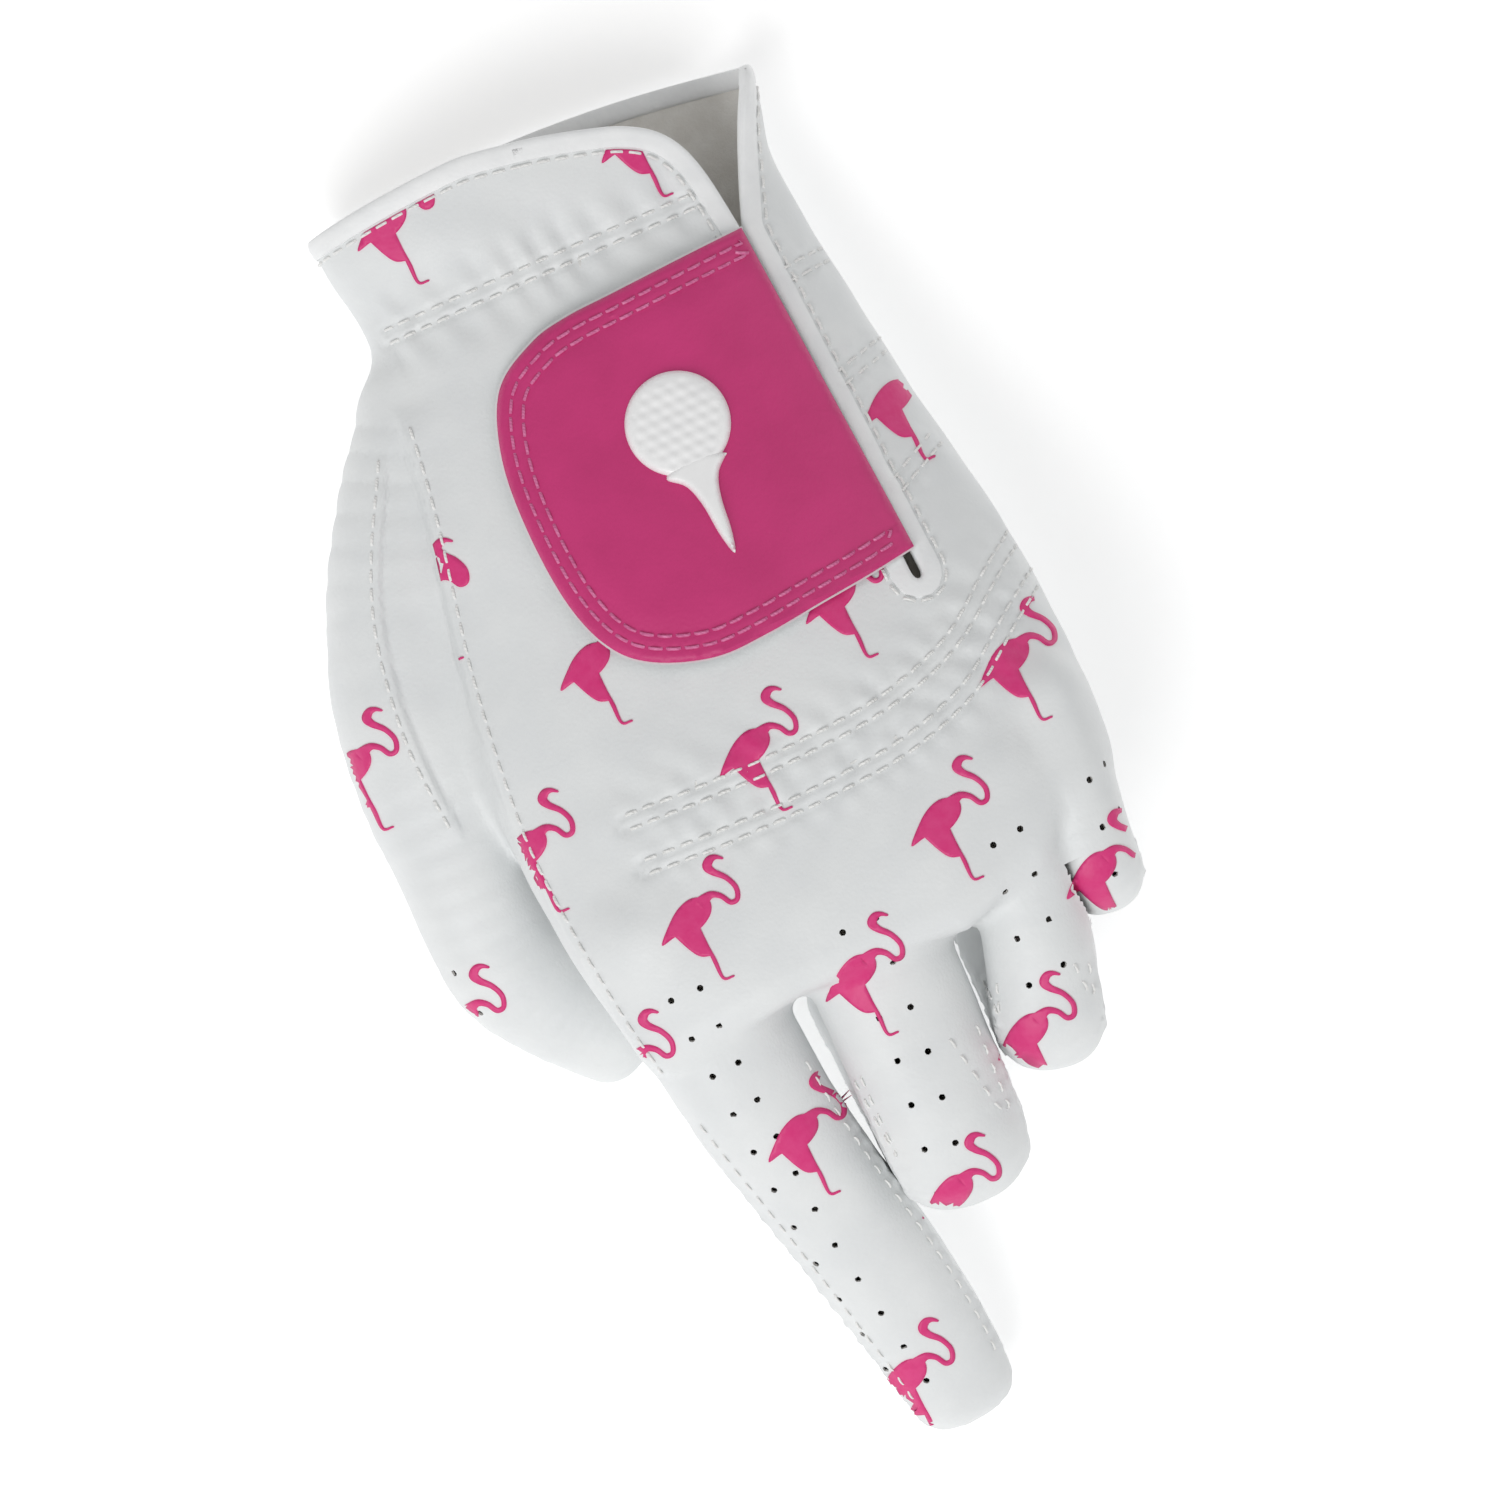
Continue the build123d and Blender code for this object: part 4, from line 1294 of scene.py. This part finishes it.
def backHeight(x, y):
    # the smooth crown of the back, without folds
    left, right, low, high = handStation(y)
    u = np.clip(np.abs(x - (left + right) / 2) / ((right - left) / 2), 0, 0.97)
    return (low + high) / 2 + (high - low) / 2 * (1 - u ** hand["backPower"]) ** (1 / hand["backPower"])


def tabRing():
    line = tab["outline"]
    curved = smoothLine(line, 8)
    return curved[(curved[:, 0] > -30.5) | (curved[:, 1] > 17.9)]


tabOutline = evenly(tabRing(), 0.8)
straightEdge = np.array([tab["outline"][-1], tab["outline"][0]], float)
tabClosed = np.vstack([tabOutline, evenly(straightEdge, 0.8)[1:-1]])


def grown(outline, distance):
    ring = np.vstack([outline[-1:], outline, outline[:1]])
    way = unit(ring[2:] - ring[:-2])
    area = np.sum(outline[:, 0] * np.roll(outline[:, 1], -1) - outline[:, 1] * np.roll(outline[:, 0], -1))
    out = np.stack([way[:, 1], -way[:, 0]], 1) * np.sign(area)
    return outline + out * distance


def tabCrown(x, y):
    # the tab bridges the slit and keeps a flatter curve than the hand
    steps = [backHeight(x + dx, y + dy) for dx in (-7, 0, 7) for dy in (-5, 0, 5)]
    wave = 0.25 * np.sin(x / 9.0 + y / 13.0) + 0.2 * np.sin(y / 7.0 + 1.0)
    return np.mean(steps, axis=0) + tab["rise"] + wave


def tabEdge(flat):
    away, _ = nearestOnLine(flat[:, 0], flat[:, 1], np.vstack([tabClosed, tabClosed[:1]]))
    return away


def freeEdge(flat):
    away, _ = nearestOnLine(flat[:, 0], flat[:, 1], tabOutline)
    return away


def tabTop(flat, extra=0.0):
    d = tabEdge(flat)
    z = tabCrown(flat[:, 0], flat[:, 1]) + tab["lining"]
    roundOver = np.sqrt(np.clip(1 - (1 - np.clip(d / 0.9, 0, 1)) ** 2, 0, 1))
    z = z + tab["leather"] * (0.35 + 0.65 * roundOver)
    free = freeEdge(flat)
    for row in tab["rows"]:
        z = z - 0.28 * bell(free - row, 0.55)
    z = z + 0.25 * bell(free - 3.2, 0.8) + 0.35 * step01(free, 4.6, 8.0)
    return np.column_stack([flat, z + extra])


def tabAt(rise):
    def place(flat):
        return np.column_stack([flat[:, :2], tabCrown(flat[:, 0], flat[:, 1]) + rise])
    return place


print("making the tab")
tabLeather, tabLining = Part("closing tab pink leather"), Part("closing tab white lining")
plate(tabLeather, [tabClosed], tabTop, tabAt(tab["lining"]), 0.9)
liningOutline = grown(tabClosed, tab["peek"])
liningOutline[len(tabOutline):] = tabClosed[len(tabOutline):]
plate(tabLining, [liningOutline], tabAt(tab["lining"] - 0.02), tabAt(0.0), 1.2)
hookPad, loopPad = Part("hook tape under the tab"), Part("loop tape on the back")
inner = tabOutline[(tabOutline[:, 0] > 1.5)]
padLine = inner * 0.9 + np.array([-0.3, -0.8])  # the same shape, a little smaller and off centre
hookOutline = evenly(np.vstack([padLine, padLine[:1]]), 1.0)
plate(hookPad, [hookOutline[:-1]], tabAt(-0.02), tabAt(-0.75), 1.3)


plate(loopPad, [hookOutline[:-1] * np.array([0.97, 0.97])], onSkin(0.7, handTree), onSkin(-0.1, handTree), 1.3)

tabThread = Part("stitching of the tab")
for row in tab["rows"]:
    line = grown(tabClosed, -row)[:len(tabOutline)]
    line = line[(line[:, 0] > -28.4)]
    spots = tabTop(line)
    normals = np.tile([0.0, 0.29, 0.957], (len(line), 1))
    stitches(tabThread, spots, normals, pitch=2.9, size=1.15)

# the badge: a golf ball with dimples, on its tee
badge = {
    "ball": (-4.4, -14.6),
    "radius": 8.4,
    "dimple": 2.15,
    "tee": [(-9.6, -7.2), (-7.2, -4.9), (-6.0, -1.2), (-5.4, 4.2), (-4.4, 7.8), (-3.4, 4.2), (-2.8, -1.2),
            (-1.6, -4.9), (0.8, -7.2), (-1.6, -8.6), (-4.4, -9.0), (-7.2, -8.6)],
    "height": 1.7,
}
turn = np.linspace(0, 2 * np.pi, 72, endpoint=False)
ballOutline = np.array(badge["ball"]) + badge["radius"] * np.stack([np.cos(turn), np.sin(turn)], 1)
teeOutline = evenly(smoothLine(badge["tee"] + badge["tee"][:1], 6), 0.5)[:-1]


def ballTop(flat):
    x, y = (flat - np.array(badge["ball"])).T
    away = np.hypot(x, y)
    z = badge["height"] * np.sqrt(np.clip(1 - (np.clip(away / badge["radius"], 0, 1)) ** 5, 0, 1)) + 0.3
    s = badge["dimple"]
    row = np.round(y / (s * 0.866))
    across = x - (row % 2) * s / 2
    near = np.hypot(across - np.round(across / s) * s, y - row * s * 0.866)
    z = z - 0.38 * bell(near, 0.72) * (away < badge["radius"] - 1.3)
    return np.column_stack([flat, tabTop(flat)[:, 2] + z])


def teeTop(flat):
    away, _ = nearestOnLine(flat[:, 0], flat[:, 1], np.vstack([teeOutline, teeOutline[:1]]))
    z = 1.4 * np.sqrt(np.clip(1 - (1 - np.clip(away / 1.1, 0, 1)) ** 2, 0, 1)) + 0.25
    return np.column_stack([flat, tabTop(flat)[:, 2] + z])


ballPart, teePart = Part("badge golf ball"), Part("badge tee")
plate(ballPart, [ballOutline], ballTop, lambda flat: tabTop(flat, -0.15), 0.42)
plate(teePart, [teeOutline], teeTop, lambda flat: tabTop(flat, -0.15), 0.45)

made["loop"] = loopPad.make("loop", loopTape, crisp=True)
riders = [
    (tabLeather.make("pink_leather", pinkLeather, crisp=True), ["tab_leather"]),
    (tabLining.make("lining", whiteLeather, crisp=True), ["tab_lining"]),
    (hookPad.make("hook", hookTape, crisp=True), ["hook_patch"]),
    (tabThread.make("pink_thread", pinkThread, crisp=True), ["tab_stitching"]),
    (ballPart.make("badge", badgePlastic, crisp=True), ["badge_ball"]),
    (teePart.make("badge", badgePlastic, crisp=True), ["badge_tee"]),
]
for piece, nodes in riders:
    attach(piece, "closure_tab")
    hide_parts(*nodes)

onHand = [
    (made["back of hand"], ["back_panel"]),
    (made["palm"], ["palm_panel"]),
    (made["strip index to middle"], ["fourchette_index_middle"]),
    (made["strip middle to ring"], ["fourchette_middle_ring"]),
    (made["strip ring to little"], ["fourchette_ring_little"]),
    (made["cuff binding"], ["cuff_binding"]),
    (made["slit binding"], ["slit_binding"]),
    (made["loop"], ["loop_patch"]),
    (tapeFront, ["knuckle_tape_front"]),
    (tapeRear, ["knuckle_tape_rear"]),
    (tapeWrist, ["wrist_tape"]),
    (knuckleThread.make("thread", whiteThread, crisp=True), ["knuckle_stitching"]),
    (wristThread.make("thread", whiteThread, crisp=True), ["wrist_stitching"]),
    (bindingThread.make("thread", whiteThread, crisp=True), []),
    (seamThread.make("thread", whiteThread, crisp=True), []),
]
for piece, nodes in onHand:
    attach(piece, "hand")
    if nodes:
        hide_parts(*nodes)


# Finger pieces: their placing is baked into the mesh, and the frame's finger panels are hidden

bends = {  # a point where nothing has moved yet, and one where all of it follows
    "index": ((28.4, 85.0, 32.5), (24.6, 101.0, 26.6)),
    "middle": ((1.0, 107.0, 29.6), (2.0, 108.6, 22.9)),
    "ring": ((-20.2, 93.0, 28.5), (-19.1, 94.9, 21.8)),
    "little": ((-37.0, 75.0, 28.2), (-36.2, 77.7, 22.3)),
    "thumb": ((55.0, 46.5, 14.0), (52.0, 60.0, 12.0)),
}
for name, (start, end) in bends.items():
    start, end = [tuple(v * mm for v in p) for p in (start, end)]
    for title, piece in made.items():
        if title.startswith(name + " finger ") or (name == "thumb" and title.startswith("thumb ")):
            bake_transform(piece)
            kind = title.split(" ")[2] if name != "thumb" else title.split(" ")[1]
            if kind == "stitching":
                continue
            if name == "thumb":
                nodes = ["thumb_%s_panel" % kind, "thumb_tip_%s" % kind]
            else:
                nodes = [name + "_" + kind.replace("strip", "fourchette")]
            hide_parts(*nodes)


# Floor, light and camera

studio = {
    "floor": "#F7F7F7",
    "board": 0.34,
    "sky": 0.45,
    "key": 17.5,
    "fill": 3.6,
    "centre": (5.93, 37.03, 30.0),
    "distance": 2.2,
    "across": 0.237,          # what the picture spans, in metres
    "right": (-0.9150, 0.4035, 0.0),
}
floorMesh = bpy.data.meshes.new("floor")
floorMesh.from_pydata([(-6, -6, 0), (6, -6, 0), (6, 6, 0), (-6, 6, 0)], [], [(0, 1, 2, 3)])
floor = bpy.data.objects.new("floor", floorMesh)
bpy.context.scene.collection.objects.link(floor)
# a lit white board: a little light comes from it, as on a product table
floorPaint, _, floorShader = startMaterial("acrylic board, opal white, lit", studio["floor"], 0.9)
floorShader.inputs["Emission Color"].default_value = (1, 1, 1, 1)
floorShader.inputs["Emission Strength"].default_value = studio["board"]
floorMesh.materials.append(floorPaint)

world = bpy.data.worlds.new("studio")
world.use_nodes = True
world.node_tree.nodes["Background"].inputs["Color"].default_value = (1, 1, 1, 1)
world.node_tree.nodes["Background"].inputs["Strength"].default_value = studio["sky"]
bpy.context.scene.world = world


def softLight(name, place, size, power):
    lamp = bpy.data.lights.new(name, "AREA")
    lamp.energy = power
    lamp.size = size
    light = bpy.data.objects.new(name, lamp)
    light.location = place
    aim = Vector(studio["centre"]) * mm - Vector(place)
    light.rotation_euler = aim.to_track_quat("-Z", "Y").to_euler()
    bpy.context.scene.collection.objects.link(light)


softLight("key", (0.9, 0.9, 1.5), 1.1, studio["key"])
softLight("fill", (-1.1, -0.4, 1.3), 1.3, studio["fill"])

lens = bpy.data.cameras.new("camera")
lens.sensor_width = 36
lens.lens = 36 * studio["distance"] / studio["across"]
camera = bpy.data.objects.new("camera", lens)
right = Vector(studio["right"]).normalized()
upward = Vector((0, 0, 1)).cross(right)
centre = Vector(studio["centre"]) * mm
turned = Matrix((right, upward, Vector((0, 0, 1)))).transposed().to_4x4()
camera.matrix_world = Matrix.Translation(centre + Vector((0, 0, studio["distance"]))) @ turned
bpy.context.scene.collection.objects.link(camera)
bpy.context.scene.camera = camera
bpy.context.scene.view_settings.view_transform = "Standard"
bpy.context.scene.view_settings.look = "None"
